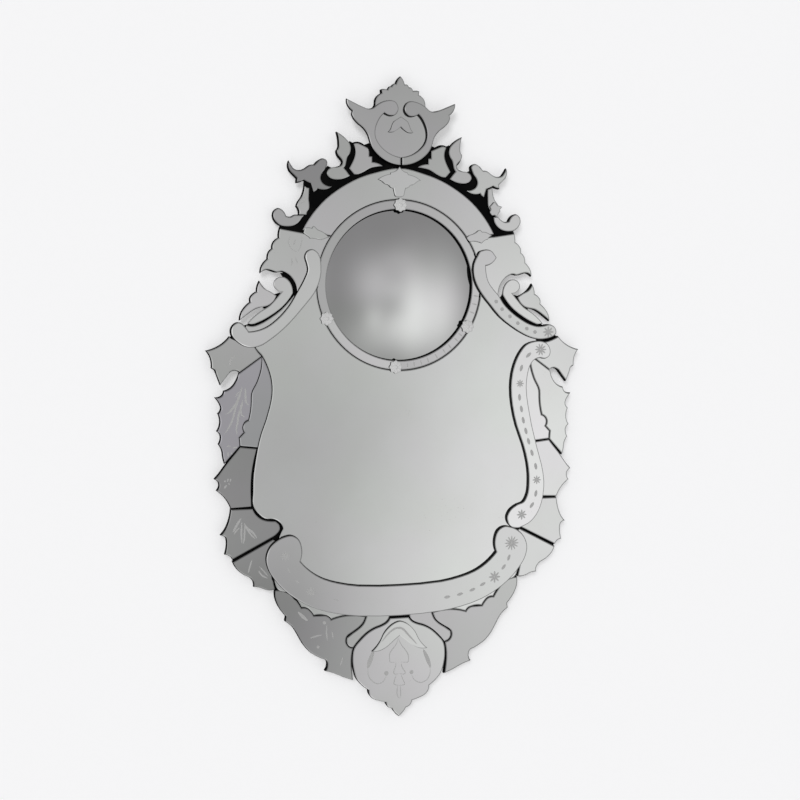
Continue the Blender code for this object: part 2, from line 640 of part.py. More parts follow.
def rosette(name, centre):
    """A small cast flower: scalloped edge, low crown."""
    count = ROSETTE_PETALS * 4
    bm = bmesh.new()
    back = []
    edge = []
    shoulder = []
    for k in range(count):
        angle = 2 * math.pi * k / count
        radius = ROSETTE + ROSETTE_WAVE * math.cos(ROSETTE_PETALS * angle)
        x, z = math.cos(angle), math.sin(angle)
        back.append(bm.verts.new(place(centre[0] + radius * x, centre[1] + radius * z, RAISED_BACK)))
        edge.append(bm.verts.new(place(centre[0] + radius * x, centre[1] + radius * z,
                                       RAISED_BACK + ROSETTE_RIM)))
    for k in range(ROSETTE_PETALS * 2):
        angle = 2 * math.pi * k / (ROSETTE_PETALS * 2)
        radius = 0.55 * ROSETTE
        shoulder.append(bm.verts.new(place(centre[0] + radius * math.cos(angle),
                                           centre[1] + radius * math.sin(angle),
                                           RAISED_BACK + ROSETTE_RIM + ROSETTE_CROWN)))
    for k in range(count):
        following = (k + 1) % count
        bm.faces.new((back[k], back[following], edge[following], edge[k]))
    for k in range(0, count, 2):
        a = shoulder[k // 2]
        b = shoulder[(k // 2 + 1) % len(shoulder)]
        bm.faces.new((edge[k], edge[(k + 1) % count], a))
        bm.faces.new((edge[(k + 1) % count], edge[(k + 2) % count], b, a))
    bm.faces.new(back)
    bm.faces.new(shoulder)
    made = add_object(name, bm, silvered(name + "_glass"))
    made.data.shade_smooth()
    made.data.set_sharp_from_angle(angle=math.radians(40))


def hanging_batten():
    """The upper half of a split batten: its lower edge slopes to hook over the half on the wall."""
    half_width = CLEAT_WIDTH / 2
    half_height = CLEAT_HEIGHT / 2
    slope = CLEAT * 0.8
    profile = [(0.0, half_height), (-CLEAT, half_height), (-CLEAT, -half_height), (0.0, -half_height + slope)]
    bm = bmesh.new()
    ends = []
    for x in (-half_width, half_width):
        ends.append([bm.verts.new(Vector((x, y, z))) for y, z in profile])
    bm.faces.new(ends[0])
    bm.faces.new(ends[1])
    for k in range(len(profile)):
        following = (k + 1) % len(profile)
        bm.faces.new((ends[0][k], ends[0][following], ends[1][following], ends[1][k]))
    add_object("hanging_batten", bm, material("batten_wood", (0.32, 0.20, 0.11), 0.6, 0.0))


# Plate outlines that share edges
def main_mirror_outline():
    ring = ring_points(RING_JOINT, -90, MAIN_JOINT_AT_RING)
    zigzag = [[point] for stretch in reversed(LOBE_6[8:11]) for point in reversed(stretch)]
    side = [ring[:-1], [ring[-1]] + MAIN_TOP, [MAIN_CORNER], [(339, 127.5)],
            [(323.5, 107.5)] + MAIN_SIDE[::-1]] + MAIN_LOW
    return both_halves(side + zigzag + MAIN_BOTTOM)


def shoulder_outline():
    ring = ring_points(RING_JOINT, SHOULDER_FOOT, ARCH_JOINT)
    return closed_path(SHOULDER_EDGE + [ring[:-1], [ring[-1]]])


def arch_outline():
    ring = ring_points(RING_JOINT, ARCH_JOINT, 90)
    return both_halves([ARCH_CREST, [ARCH_END], ring])


def lobe_2_outline():
    outer = open_path(LOBE_2_OUTER + [[LOBE_2_TIP], [LOBE_3_CORNER]])
    inner = open_path(LOBE_2_INNER + [[LOBE_3_CORNER]])
    return outer[:-1] + inner[::-1]


def inner_lobe_outline():
    return closed_path(LOBE_2_INNER + [[LOBE_3_CORNER], [INNER_LOBE_FOOT] + MAIN_SIDE])


def curl_outline(side):
    return closed_path(CURL_TOP[side] + CURL)


# The mirror
def build():
    for old in list(bpy.data.objects):
        bpy.data.objects.remove(old, do_unlink=True)

    sides = ((LEFT, "left"), (RIGHT, "right"))
    single = {
        "main_mirror": main_mirror_outline(),
        "arch_band": arch_outline(),
        "crest_plate": both_halves(CREST_PLATE),
        "palmette": both_halves(PALMETTE),
        "left_fillet": flipped(closed_path(LEFT_FILLET), LEFT),
        "rod_left": flipped(closed_path(LEFT_ROD), LEFT),
        "rod_right": closed_path(RIGHT_ROD),
        "curl_left": flipped(curl_outline(LEFT), LEFT),
        "curl_right": curl_outline(RIGHT),
    }
    paired = {
        "tulip": closed_path(TULIP),
        "flame": closed_path(FLAME),
        "thistle": closed_path(THISTLE),
        "shoulder": shoulder_outline(),
        "small_scroll": closed_path(SMALL_SCROLL),
        "side_leaf": closed_path(SIDE_LEAF),
        "lobe_1": closed_path(LOBE_1),
        "lobe_2": lobe_2_outline(),
        "inner_lobe": inner_lobe_outline(),
        "lobe_3": closed_path(LOBE_3),
        "lobe_4": closed_path(LOBE_4),
        "lobe_5": closed_path(LOBE_5),
        "bottom_wing": closed_path(LOBE_6),
        "collar": closed_path(COLLAR),
    }
    plates = dict(single)
    for name, outline in paired.items():
        for side, word in sides:
            plates[name + "_" + word] = flipped(outline, side)

    raised = {
        "bottom_band": both_halves(BAND_TOP),
        "s_scroll_right": closed_path(RIGHT_S_SCROLL),
        "long_scroll_left": flipped(closed_path(LEFT_LONG_SCROLL), LEFT),
        "long_scroll_right": closed_path(RIGHT_LONG_SCROLL),
        "crest_scroll_left": flipped(closed_path(CREST_SCROLL), LEFT),
        "crest_scroll_right": closed_path(CREST_SCROLL),
    }

    behind = []
    for name, outline in plates.items():
        margin = BOARD_MARGIN - JOINT / 2
        if name.startswith("tulip"):
            margin = TULIP_MARGIN - JOINT / 2
        if name.startswith("small_scroll"):
            margin = -SCROLL_INSET
        behind.append(grown(outline, margin))
    for name, outline in raised.items():
        if not name.startswith("crest_scroll"):
            behind.append(grown(outline, 0.3))
    core = [Vector(p) for p in BOARD_CORE]
    behind.append(core + [Vector((-p.x, p.y)) for p in reversed(core[1:-1])])
    behind.append(flipped([Vector(p) for p in LEFT_CRESCENT_CORE], LEFT))
    for side, word in sides:
        behind.append(flipped([Vector(p) for p in SCROLL_CORE], side))
        behind.append(flipped([Vector(p) for p in LEAF_CORE], side))
    board(behind)

    for name, outline in plates.items():
        glass_plate(name, outline)
    for name, outline in raised.items():
        raised_plate(name, outline)

    leaf_plate("crest_leaf", both_halves(CREST_LEAF))
    leaf_plate("palmette_leaf", both_halves(PALMETTE_LEAF))
    shift = Vector((ARCH_LEAF_SHIFT, 0))
    leaf_plate("arch_leaf", [p + shift for p in both_halves(ARCH_LEAF)])
    leaf_plate("star_right", closed_path(RIGHT_STAR))
    for side, word in sides:
        leaf_plate("sprig_" + word, flipped(closed_path(SPRIG[side]), side))

    convex_mirror()
    ring_strips()
    for name, centre in ROSETTES.items():
        rosette("rosette_" + name, centre)
    hanging_batten()


build()
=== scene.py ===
# Tall wall mirror of cut, silvered glass plates on a black board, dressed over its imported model.
# It is put together here as in the workshop: hanger, board, flat plates, raised scrolls, leaves and rosettes.
import math

import bmesh
import bpy
import numpy as np
from mathutils import Matrix, Vector
from mathutils.geometry import tessellate_polygon


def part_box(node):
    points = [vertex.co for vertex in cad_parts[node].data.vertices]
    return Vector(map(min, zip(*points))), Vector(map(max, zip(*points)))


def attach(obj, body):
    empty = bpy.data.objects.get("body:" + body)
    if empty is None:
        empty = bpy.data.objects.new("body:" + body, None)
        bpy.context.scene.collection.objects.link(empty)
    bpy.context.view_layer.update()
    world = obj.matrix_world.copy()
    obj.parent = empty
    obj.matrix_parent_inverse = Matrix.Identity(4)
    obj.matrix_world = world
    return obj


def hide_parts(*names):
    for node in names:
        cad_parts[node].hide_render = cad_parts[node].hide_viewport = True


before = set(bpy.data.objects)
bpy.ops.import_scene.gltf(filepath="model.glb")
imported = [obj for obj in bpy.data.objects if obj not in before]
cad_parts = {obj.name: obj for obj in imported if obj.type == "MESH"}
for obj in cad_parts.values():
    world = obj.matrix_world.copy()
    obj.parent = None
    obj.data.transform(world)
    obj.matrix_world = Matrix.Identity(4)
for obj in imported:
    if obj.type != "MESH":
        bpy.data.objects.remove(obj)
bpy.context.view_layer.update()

# ---- Camera ----
# It stands 2.8 m in front of the glass, left of its middle and a little above it, and is turned to the right
# and slightly down: the angle of the photograph.
CAMERA_AT = (-0.773, -2.8303, -0.140)
CAMERA_LENS = 56.09            # mm, on a sensor 36 mm wide
CAMERA_SENSOR = 36
view_yaw, view_pitch, view_roll = math.radians(15.43), math.radians(-3.675), math.radians(0.13)
view_ahead = Vector((math.sin(view_yaw) * math.cos(view_pitch), math.cos(view_yaw) * math.cos(view_pitch),
                     math.sin(view_pitch)))
view_right = Vector((math.cos(view_yaw), -math.sin(view_yaw), 0))
view_up = view_right.cross(view_ahead)
camera = bpy.data.objects.new("camera", bpy.data.cameras.new("camera"))
camera.data.sensor_width = CAMERA_SENSOR
camera.data.lens = CAMERA_LENS
camera.matrix_world = Matrix.Translation(CAMERA_AT) @ Matrix((
    view_right * math.cos(view_roll) + view_up * math.sin(view_roll),
    view_up * math.cos(view_roll) - view_right * math.sin(view_roll),
    -view_ahead)).transposed().to_4x4()
bpy.context.scene.collection.objects.link(camera)
bpy.context.scene.camera = camera

# ---- Hanging batten ----
# The upper half of a split softwood batten, glued and screwed across the back of the board. Its sloping
# lower edge hooks over the other half on the wall. It is left raw, with the saw's grain showing.
WOOD_PALE = (0.50, 0.34, 0.19, 1)
WOOD_DARK = (0.24, 0.13, 0.06, 1)


def add(tree, kind, inputs=None, **settings):
    """One shader node with its settings; an input is given a value or the socket that feeds it."""
    made = tree.nodes.new("ShaderNode" + kind)
    for key, value in settings.items():
        setattr(made, key, value)
    for key, value in (inputs or {}).items():
        if isinstance(value, bpy.types.NodeSocket):
            tree.links.new(value, made.inputs[key])
        else:
            made.inputs[key].default_value = value
    return made


def effect(name, inputs, outputs):
    """An empty node group with named sockets, its input node and its output node."""
    group = bpy.data.node_groups.new(name, "ShaderNodeTree")
    for label, kind, value in inputs:
        group.interface.new_socket(label, in_out="INPUT", socket_type="NodeSocket" + kind).default_value = value
    for label, kind in outputs:
        group.interface.new_socket(label, in_out="OUTPUT", socket_type="NodeSocket" + kind)
    return group, group.nodes.new("NodeGroupInput").outputs, group.nodes.new("NodeGroupOutput").inputs


def surface(name, **sockets):
    """A material, its tree and its shader, with the values that are the same all over it."""
    material = bpy.data.materials.new(name)
    material.use_nodes = True
    shader = material.node_tree.nodes["Principled BSDF"]
    for key, value in sockets.items():
        shader.inputs[key.replace("_", " ")].default_value = value
    return material, material.node_tree, shader


def place_effect(tree, group, **values):
    """The group as a node of a material, with that material's own values."""
    made = tree.nodes.new("ShaderNodeGroup")
    made.node_tree = group
    for key, value in values.items():
        made.inputs[key.replace("_", " ")].default_value = value
    return made.outputs


def relief(tree, shader, height, distance):
    """Feeds the shader's normal from a height, whose full range stands for that many metres."""
    bump = add(tree, "Bump", {"Height": height, "Distance": distance, "Strength": 1.0})
    tree.links.new(bump.outputs["Normal"], shader.inputs["Normal"])


wood, wood_tree, wood_shader = surface("raw_softwood", Specular_IOR_Level=0.3)
wood_place = add(wood_tree, "TexCoord").outputs["Object"]
wood_run = add(wood_tree, "Mapping", {"Vector": wood_place, "Scale": (3.0, 60.0, 60.0)}).outputs["Vector"]
wood_bend = add(wood_tree, "TexNoise", {"Vector": wood_place, "Scale": 9.0, "Detail": 3.0}).outputs["Color"]
wood_path = add(wood_tree, "MixRGB", {"Fac": 0.12, "Color1": wood_run, "Color2": wood_bend},
                blend_type="ADD").outputs["Color"]
wood_rings = add(wood_tree, "TexNoise", {"Vector": wood_path, "Scale": 2.2, "Detail": 6.0,
                                         "Roughness": 0.7}).outputs["Fac"]
wood_fibre = add(wood_tree, "TexNoise", {"Vector": wood_run, "Scale": 14.0, "Detail": 4.0}).outputs["Fac"]
wood_tone = add(wood_tree, "ValToRGB", {"Fac": wood_rings})
wood_tone.color_ramp.elements[0].position = 0.36
wood_tone.color_ramp.elements[0].color = WOOD_DARK
wood_tone.color_ramp.elements[1].position = 0.62
wood_tone.color_ramp.elements[1].color = WOOD_PALE
wood_tree.links.new(wood_tone.outputs["Color"], wood_shader.inputs["Base Color"])
wood_rough = add(wood_tree, "MapRange", {0: wood_fibre, 3: 0.62, 4: 0.9}).outputs[0]
wood_tree.links.new(wood_rough, wood_shader.inputs["Roughness"])
relief(wood_tree, wood_shader, wood_fibre, 0.0005)
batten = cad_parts["hanging_batten"]
batten.data.materials.clear()
batten.data.materials.append(wood)

# ---- Backing board ----
# One sheet of board sawn to the whole outline and painted black on all sides. It shows as the black lines
# in the joints and round the plates, and is rubbed and dusty on its back.
BOARD_BLACK = (0.0022, 0.0022, 0.0024, 1)
BOARD_RUBBED = (0.012, 0.011, 0.010, 1)
BOARD_ROUND = 0.0008           # eased sawn edge
CORNER = math.radians(38)      # a sharper turn than this is a cut corner, and a gentler one is part of a curve
CURVE_TURN = math.radians(5)   # a curve is drawn in steps that turn this much
UNEVEN = 2.5                   # a side this much longer than the one beside it leads the curve between them
CREASE = math.radians(24)      # a sharper corner of an outline stays sharp down the side of the plate
MITRE_LIMIT = 0.06             # keeps the mitre of a needle tip from running away
RING_HALVINGS = 13             # steps in which a ring's place in a narrow tip is found
RING_CLEAR = 0.93              # a ring keeps this share of its distance from the outline
RING_WHOLE = 0.995             # above this share the ring has its full distance
CLEARANCE_BATCH = 200          # points measured at a time
AREA_SLACK = 0.002             # share of a face's area that its triangles may be out by
WELD = 0.00005                 # points closer than this are one
SLIVER = 0.00001               # and edges shorter than this are left out

brushed_paint, given, result = effect(
    "brushed_paint",
    [("Paint", "Color", BOARD_BLACK), ("Rubbed", "Color", BOARD_RUBBED), ("Sheen Low", "Float", 0.35),
     ("Sheen High", "Float", 0.7)],
    [("Color", "Color"), ("Roughness", "Float"), ("Height", "Float")])
place = add(brushed_paint, "TexCoord").outputs["Object"]
stroke = add(brushed_paint, "Mapping", {"Vector": place, "Scale": (260.0, 260.0, 14.0)}).outputs["Vector"]
strokes = add(brushed_paint, "TexNoise", {"Vector": stroke, "Scale": 1.0, "Detail": 5.0,
                                          "Roughness": 0.6}).outputs["Fac"]
cloud = add(brushed_paint, "TexNoise", {"Vector": place, "Scale": 11.0, "Detail": 6.0,
                                        "Roughness": 0.65}).outputs["Fac"]
rub = add(brushed_paint, "MapRange", {0: cloud, 1: 0.5, 2: 0.74, 3: 0.0, 4: 1.0}).outputs[0]
rub = add(brushed_paint, "Math", {0: rub, 1: strokes}, operation="MULTIPLY").outputs[0]
mixed = add(brushed_paint, "MixRGB", {"Fac": rub, "Color1": given["Paint"], "Color2": given["Rubbed"]}).outputs[0]
sheen = add(brushed_paint, "MapRange", {0: strokes, 3: given["Sheen Low"], 4: given["Sheen High"]}).outputs[0]
brushed_paint.links.new(mixed, result["Color"])
brushed_paint.links.new(sheen, result["Roughness"])
brushed_paint.links.new(strokes, result["Height"])


def front_loops(node):
    """The loops round the front face of a CAD plate as (x, z) in metres, the material on their left."""
    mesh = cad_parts[node].data
    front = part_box(node)[0].y
    edges = set()
    for face in mesh.polygons:
        corners = [mesh.vertices[v].co for v in face.vertices]
        if all(c.y < front + 1e-5 for c in corners) and abs(face.normal.y) > 0.5:
            spots = [(round(c.x * 1e6), round(c.z * 1e6)) for c in corners]
            if sum(a[0] * b[1] - b[0] * a[1] for a, b in zip(spots, spots[1:] + spots[:1])) < 0:
                spots.reverse()
            edges.update(zip(spots, spots[1:] + spots[:1]))
    follow = {a: b for a, b in edges if (b, a) not in edges}
    loops = []
    while follow:
        start = min(follow)
        loop, at = [], start
        while at in follow:
            loop.append(at)
            at = follow.pop(at)
        loops.append(np.array(loop) / 1e6)
    return loops


def curved(loop):
    """The same outline with its gentle turns drawn as curves and its cut corners kept."""
    step = np.roll(loop, -1, 0) - loop
    length = np.linalg.norm(step, axis=1)
    along = step / length[:, None]
    before, before_length = np.roll(along, 1, 0), np.roll(length, 1)
    turn = np.arccos(np.clip((along * before).sum(1), -1, 1))
    ratio = before_length / length
    lean = np.where(ratio > UNEVEN, 1.0, np.where(ratio < 1 / UNEVEN, 0.0, 1 / (1 + ratio)))
    tangent = before * lean[:, None] + along * (1 - lean)[:, None]
    tangent /= np.linalg.norm(tangent, axis=1)[:, None]
    drawn = []
    for i in range(len(loop)):
        j = (i + 1) % len(loop)
        d = along[i]
        leave, arrive = (None if turn[k] > CORNER else tangent[k] for k in (i, j))
        if leave is None and arrive is None:
            leave = arrive = d
        elif leave is None:
            leave = 2 * d.dot(arrive) * d - arrive
        elif arrive is None:
            arrive = 2 * d.dot(leave) * d - leave
        bend = math.acos(min(1, d.dot(leave))) + math.acos(min(1, d.dot(arrive)))
        count = max(1, math.ceil(bend / CURVE_TURN))
        for t in np.arange(count) / count:
            drawn.append(loop[i] * (2 * t ** 3 - 3 * t ** 2 + 1) + leave * length[i] * (t ** 3 - 2 * t ** 2 + t)
                         + loop[j] * (3 * t ** 2 - 2 * t ** 3) + arrive * length[i] * (t ** 3 - t ** 2))
    return np.array(drawn)


def in_scene(name, shape, materials):
    """The finished shape as an object of the scene, with its materials."""
    mesh = bpy.data.meshes.new(name)
    shape.to_mesh(mesh)
    shape.free()
    for material in materials:
        mesh.materials.append(material)
    piece = bpy.data.objects.new(name, mesh)
    bpy.context.scene.collection.objects.link(piece)
    return piece


def laid_up(name, loops, profile, materials, back=0):
    """A plate built up from its outline. The profile is the rings from the back to the front, as (distance
    inside the outline, y, material of the faces that lead there). In a tip too narrow for a ring, the ring
    lies on the tip's middle line, as a ground bevel does."""
    here = np.concatenate(loops)
    after = np.concatenate([np.roll(loop, -1, 0) for loop in loops])
    before = np.concatenate([np.roll(loop, 1, 0) for loop in loops])
    d1, d2 = here - before, after - here
    d1 /= np.linalg.norm(d1, axis=1)[:, None]
    d2 /= np.linalg.norm(d2, axis=1)[:, None]
    n1, n2 = np.stack([-d1[:, 1], d1[:, 0]], 1), np.stack([-d2[:, 1], d2[:, 0]], 1)
    mitre = (n1 + n2) / np.maximum(1 + (n1 * n2).sum(1), MITRE_LIMIT)[:, None]
    corner = np.arccos(np.clip((d1 * d2).sum(1), -1, 1)) > CREASE
    edge = after - here
    square = (edge ** 2).sum(1)

    def clearance(points):
        """How far each point is from the outline."""
        out = np.empty(len(points))
        for s in range(0, len(points), CLEARANCE_BATCH):
            away = points[s:s + CLEARANCE_BATCH, None, :] - here[None, :, :]
            t = np.clip((away * edge[None]).sum(2) / square[None], 0, 1)
            out[s:s + CLEARANCE_BATCH] = np.sqrt(((away - t[..., None] * edge[None]) ** 2).sum(2)).min(1)
        return out

    deepest = max(inset for inset, _, _ in profile)
    low, high = np.zeros(len(here)), np.full(len(here), deepest)
    for _ in range(RING_HALVINGS):
        middle = (low + high) / 2
        fits = clearance(here + mitre * middle[:, None]) >= RING_CLEAR * middle - SLIVER
        low, high = np.where(fits, middle, low), np.where(fits, high, middle)
    reach = np.where(low > RING_WHOLE * deepest, deepest, low)

    shape = bmesh.new()
    rings, level = [], np.full(len(here), profile[0][1])
    last = 0.0
    for inset, y, _ in profile:
        if inset > last:
            share = np.clip(2 * (reach - last) / (inset - last), 0, 1)
        else:
            share = (reach >= inset - 1e-6).astype(float)
        level = level + (y - level) * share
        at = here + mitre * np.minimum(reach, inset)[:, None]
        rings.append([shape.verts.new((p[0], q, p[1])) for p, q in zip(at, level)])
        last = inset
    follow, base = [], 0
    for loop in loops:
        follow += [base + (i + 1) % len(loop) for i in range(len(loop))]
        base += len(loop)
    for (_, _, material), lower, upper in zip(profile[1:], rings, rings[1:]):
        for i, j in enumerate(follow):
            face = shape.faces.new((lower[i], lower[j], upper[j], upper[i]))
            face.material_index, face.smooth = material, True
    for ring, material in ((rings[0], back), (rings[-1], profile[-1][2])):
        sheet, base = [], 0
        for loop in loops:
            sheet.append([Vector((v.co.x, v.co.z, 0)) for v in ring[base:base + len(loop)]])
            base += len(loop)
        flip = ring is rings[0]
        orders, covered = [], 0.0
        for a, b, c in tessellate_polygon(sheet):
            p, q, r = (ring[k].co for k in (a, b, c))
            area = (q.x - p.x) * (r.z - p.z) - (r.x - p.x) * (q.z - p.z)
            if abs(area) > 1e-12:
                orders.append((a, b, c) if (area > 0) != flip else (a, c, b))
                covered += abs(area)
        whole = sum(u.x * v.y - v.x * u.y for loop in sheet for u, v in zip(loop, loop[1:] + loop[:1]))
        if len(sheet) == 1 and abs(covered - whole) > AREA_SLACK * whole:   # a ring that touches itself in a tip
            orders = [range(len(ring))[::-1 if flip else 1]]
        for order in orders:
            face = shape.faces.new([ring[k] for k in order])
            face.material_index = material
    for lower, upper in zip(rings, rings[1:]):
        for i in range(len(here)):
            if corner[i]:
                joined = shape.edges.get((lower[i], upper[i]))
                if joined:
                    joined.smooth = False
    for ring in rings[1:-1]:
        for i, j in enumerate(follow):
            shape.edges.get((ring[i], ring[j])).smooth = False
    bmesh.ops.remove_doubles(shape, verts=shape.verts, dist=WELD)
    bmesh.ops.dissolve_degenerate(shape, edges=shape.edges, dist=SLIVER)
    return in_scene(name, shape, materials)


def finish_surface(tree, shader, finish, distance):
    """Feeds the shader from an effect's colour, roughness and height, whose full range is that many metres."""
    tree.links.new(finish["Color"], shader.inputs["Base Color"])
    tree.links.new(finish["Roughness"], shader.inputs["Roughness"])
    relief(tree, shader, finish["Height"], distance)


board_paint, tree, shader = surface("board_black_paint", Specular_IOR_Level=0.06)
finish_surface(tree, shader, place_effect(tree, brushed_paint), 0.0002)
board_front, board_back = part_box("backing_board")[0].y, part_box("backing_board")[1].y
board_loops = [curved(loop) for loop in front_loops("backing_board")]
board = laid_up("board_sheet", board_loops, [
    (BOARD_ROUND, board_back, 0), (0.0, board_back - BOARD_ROUND, 0), (0.0, board_front + BOARD_ROUND, 0),
    (BOARD_ROUND, board_front, 0)], [board_paint])
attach(board, "root")
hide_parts("backing_board")

# ---- Main mirror ----
# The large plate in the middle: 4.7 mm glass silvered on its back, its edge ground to a narrow bevel and its
# side blackened. The old silvering drifts faintly between pink and green, and has a few specks and a thin film
# of dust. It is given a darker patch at the lower left, where the photograph is darker.
BEVEL = 0.0020                 # width of the ground bevel on a flat plate
BEVEL_DROP = 0.0006            # and how far it falls to the side of the plate
SILVER_AGED = (0.80, 0.78, 0.74, 1)
DRIFT_PINK = (1.0, 0.992, 1.008, 1)
DRIFT_GREEN = (0.982, 1.0, 0.984, 1)
DARKENED_AT = (-0.30, 0.0, -0.84)      # the middle of the patch where every silvered face is drawn darker
DARKENED_REACH = 0.205         # and how far from there it fades
DARKENED_TONE = 0.68           # share of the brightness left in its middle

silvering, given, result = effect(
    "silvering",
    [("Silver", "Color", (0.9, 0.9, 0.9, 1)), ("Aged", "Color", SILVER_AGED), ("Dust", "Float", 0.06),
     ("Seed", "Float", 0.0)],
    [("Color", "Color"), ("Roughness", "Float"), ("Height", "Float")])
place = add(silvering, "TexCoord").outputs["Object"]
cloud = add(silvering, "TexNoise", {"Vector": place, "W": given["Seed"], "Scale": 7.0, "Detail": 4.0,
                                    "Roughness": 0.55}, noise_dimensions="4D").outputs["Fac"]
speck = add(silvering, "TexVoronoi", {"Vector": place, "Scale": 150.0}).outputs["Distance"]
speck = add(silvering, "MapRange", {0: speck, 1: 0.05, 2: 0.12, 3: 1.0, 4: 0.0}).outputs[0]
where = add(silvering, "MapRange", {0: cloud, 1: 0.58, 2: 0.70, 3: 0.0, 4: 0.8}).outputs[0]
speck = add(silvering, "Math", {0: speck, 1: where}, operation="MULTIPLY").outputs[0]
haze = add(silvering, "MapRange", {0: cloud, 1: 0.35, 2: 0.8, 3: 0.0, 4: 0.22}).outputs[0]
age = add(silvering, "Math", {0: haze, 1: speck}, operation="MAXIMUM").outputs[0]
tarnish = add(silvering, "MixRGB", {"Fac": 1.0, "Color1": given["Silver"], "Color2": given["Aged"]},
              blend_type="MULTIPLY").outputs[0]
aged = add(silvering, "MixRGB", {"Fac": age, "Color1": given["Silver"], "Color2": tarnish}).outputs[0]
drift = add(silvering, "TexNoise", {"Vector": place, "W": given["Seed"], "Scale": 5.5, "Detail": 1.0},
            noise_dimensions="4D").outputs["Fac"]
drift = add(silvering, "ValToRGB", {"Fac": drift})
drift.color_ramp.elements[0].position = 0.36
drift.color_ramp.elements[0].color = DRIFT_PINK
drift.color_ramp.elements[1].position = 0.64
drift.color_ramp.elements[1].color = DRIFT_GREEN
tinted = add(silvering, "MixRGB", {"Fac": 1.0, "Color1": aged, "Color2": drift.outputs["Color"]},
             blend_type="MULTIPLY").outputs[0]
off = add(silvering, "VectorMath", {0: place, 1: DARKENED_AT}, operation="SUBTRACT").outputs[0]
off = add(silvering, "VectorMath", {0: off, 1: (1 / DARKENED_REACH, 0, 1 / DARKENED_REACH)},
          operation="MULTIPLY").outputs[0]
off = add(silvering, "VectorMath", {0: off, 1: off}, operation="DOT_PRODUCT").outputs["Value"]
off = add(silvering, "Math", {0: off, 1: -1.0}, operation="MULTIPLY").outputs[0]
dark = add(silvering, "Math", {0: math.e, 1: off}, operation="POWER").outputs[0]
darkened = add(silvering, "MapRange", {0: dark, 3: 1.0, 4: DARKENED_TONE}).outputs[0]
toned = add(silvering, "MixRGB", {"Fac": 1.0, "Color1": tinted, "Color2": darkened},
            blend_type="MULTIPLY").outputs[0]
silvering.links.new(toned, result["Color"])
wipe = add(silvering, "Mapping", {"Vector": place, "Rotation": (0.0, 0.6, 0.0),
                                  "Scale": (9.0, 9.0, 60.0)}).outputs["Vector"]
wipe = add(silvering, "TexNoise", {"Vector": wipe, "Scale": 1.0, "Detail": 5.0, "Roughness": 0.65}).outputs["Fac"]
film = add(silvering, "MapRange", {0: wipe, 1: 0.45, 2: 0.8, 3: 0.0, 4: 1.0}).outputs[0]
film = add(silvering, "Math", {0: film, 1: given["Dust"], 2: 0.012}, operation="MULTIPLY_ADD").outputs[0]
dull = add(silvering, "Math", {0: film, 1: speck}, operation="ADD").outputs[0]
silvering.links.new(dull, result["Roughness"])
wave = add(silvering, "TexNoise", {"Vector": place, "Scale": 9.0, "Detail": 1.0}).outputs["Fac"]
silvering.links.new(wave, result["Height"])


def silvered_glass(name, silver, dust=0.06, ripple=0.00006):
    """The face of one plate, from its silver tone, which for many plates also carries painted reflection: how light
    or dark that plate's reflection is drawn. Its name picks its place in the noise.
    """
    material, tree, shader = surface(name, Metallic=1.0)
    seed = sum(ord(c) * (k + 1) for k, c in enumerate(name)) % 97 * 0.37
    finish_surface(tree, shader, place_effect(tree, silvering, Silver=(*silver, 1), Dust=dust, Seed=seed), ripple)
    return material


def grained_surface(name, scale, detail, tones, sheen, distance, **sockets):
    """A material that one noise varies: its colour between two tones, its roughness between two values, and its
    relief by that many metres."""
    material, tree, shader = surface(name, **sockets)
    place = add(tree, "TexCoord").outputs["Object"]
    grain = add(tree, "TexNoise", {"Vector": place, "Scale": scale, "Detail": detail}).outputs["Fac"]
    tone = add(tree, "ValToRGB", {"Fac": grain})
    for stop, colour in zip(tone.color_ramp.elements, tones):
        stop.color = (*colour, 1)
    tree.links.new(tone.outputs["Color"], shader.inputs["Base Color"])
    rough = add(tree, "MapRange", {0: grain, 3: sheen[0], 4: sheen[1]}).outputs[0]
    tree.links.new(rough, shader.inputs["Roughness"])
    relief(tree, shader, grain, distance)
    return material


ground_edge = grained_surface("blackened_glass_edge", 900.0, 3.0,
                              ((0.0015, 0.0022, 0.0020), (0.008, 0.011, 0.010)),
                              (0.3, 0.65), 0.00004, Specular_IOR_Level=0.08)


def flat_plate(node, silver, bevel=BEVEL):
    """A plate of mirror glass with its edge bevelled, in the place of the CAD node."""
    low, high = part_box(node)
    face = silvered_glass(node + "_silver", silver)
    piece = laid_up(node + "_glass_plate", [curved(loop) for loop in front_loops(node)], [
        (0.0, high.y, 1), (0.0, low.y + BEVEL_DROP, 1), (bevel, low.y, 0)], [face, ground_edge], back=1)
    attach(piece, "root")
    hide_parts(node)


flat_plate("main_mirror", (0.90, 0.91, 0.90))

# ---- Convex mirror ----
# A round glass blown and cut to a shallow bulge, silvered behind, so that it shows the whole room. It stands
# behind the ring strips, which lap over its rim.
DOME_TURNS = 128
DOME_RINGS = 40
DOME_WALL = 0.0040
DOME_RIM = 0.1738              # beyond this radius the glass is painted black
PAINTED_RINGS = 2              # and so many of its rings are
DOME_OFF = (-0.0011, -0.0015)  # the painted rim isn't quite centred: it is wider at the top and the right
dome_low, dome_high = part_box("convex_mirror")
dome_middle = ((dome_low.x + dome_high.x) / 2, (dome_low.z + dome_high.z) / 2)
dome_reach = (dome_high.x - dome_low.x) / 2
dome_rim_y = dome_high.y - DOME_WALL
dome_rise = dome_rim_y - dome_low.y
dome_ball = (dome_reach ** 2 + dome_rise ** 2) / (2 * dome_rise)
shape = bmesh.new()


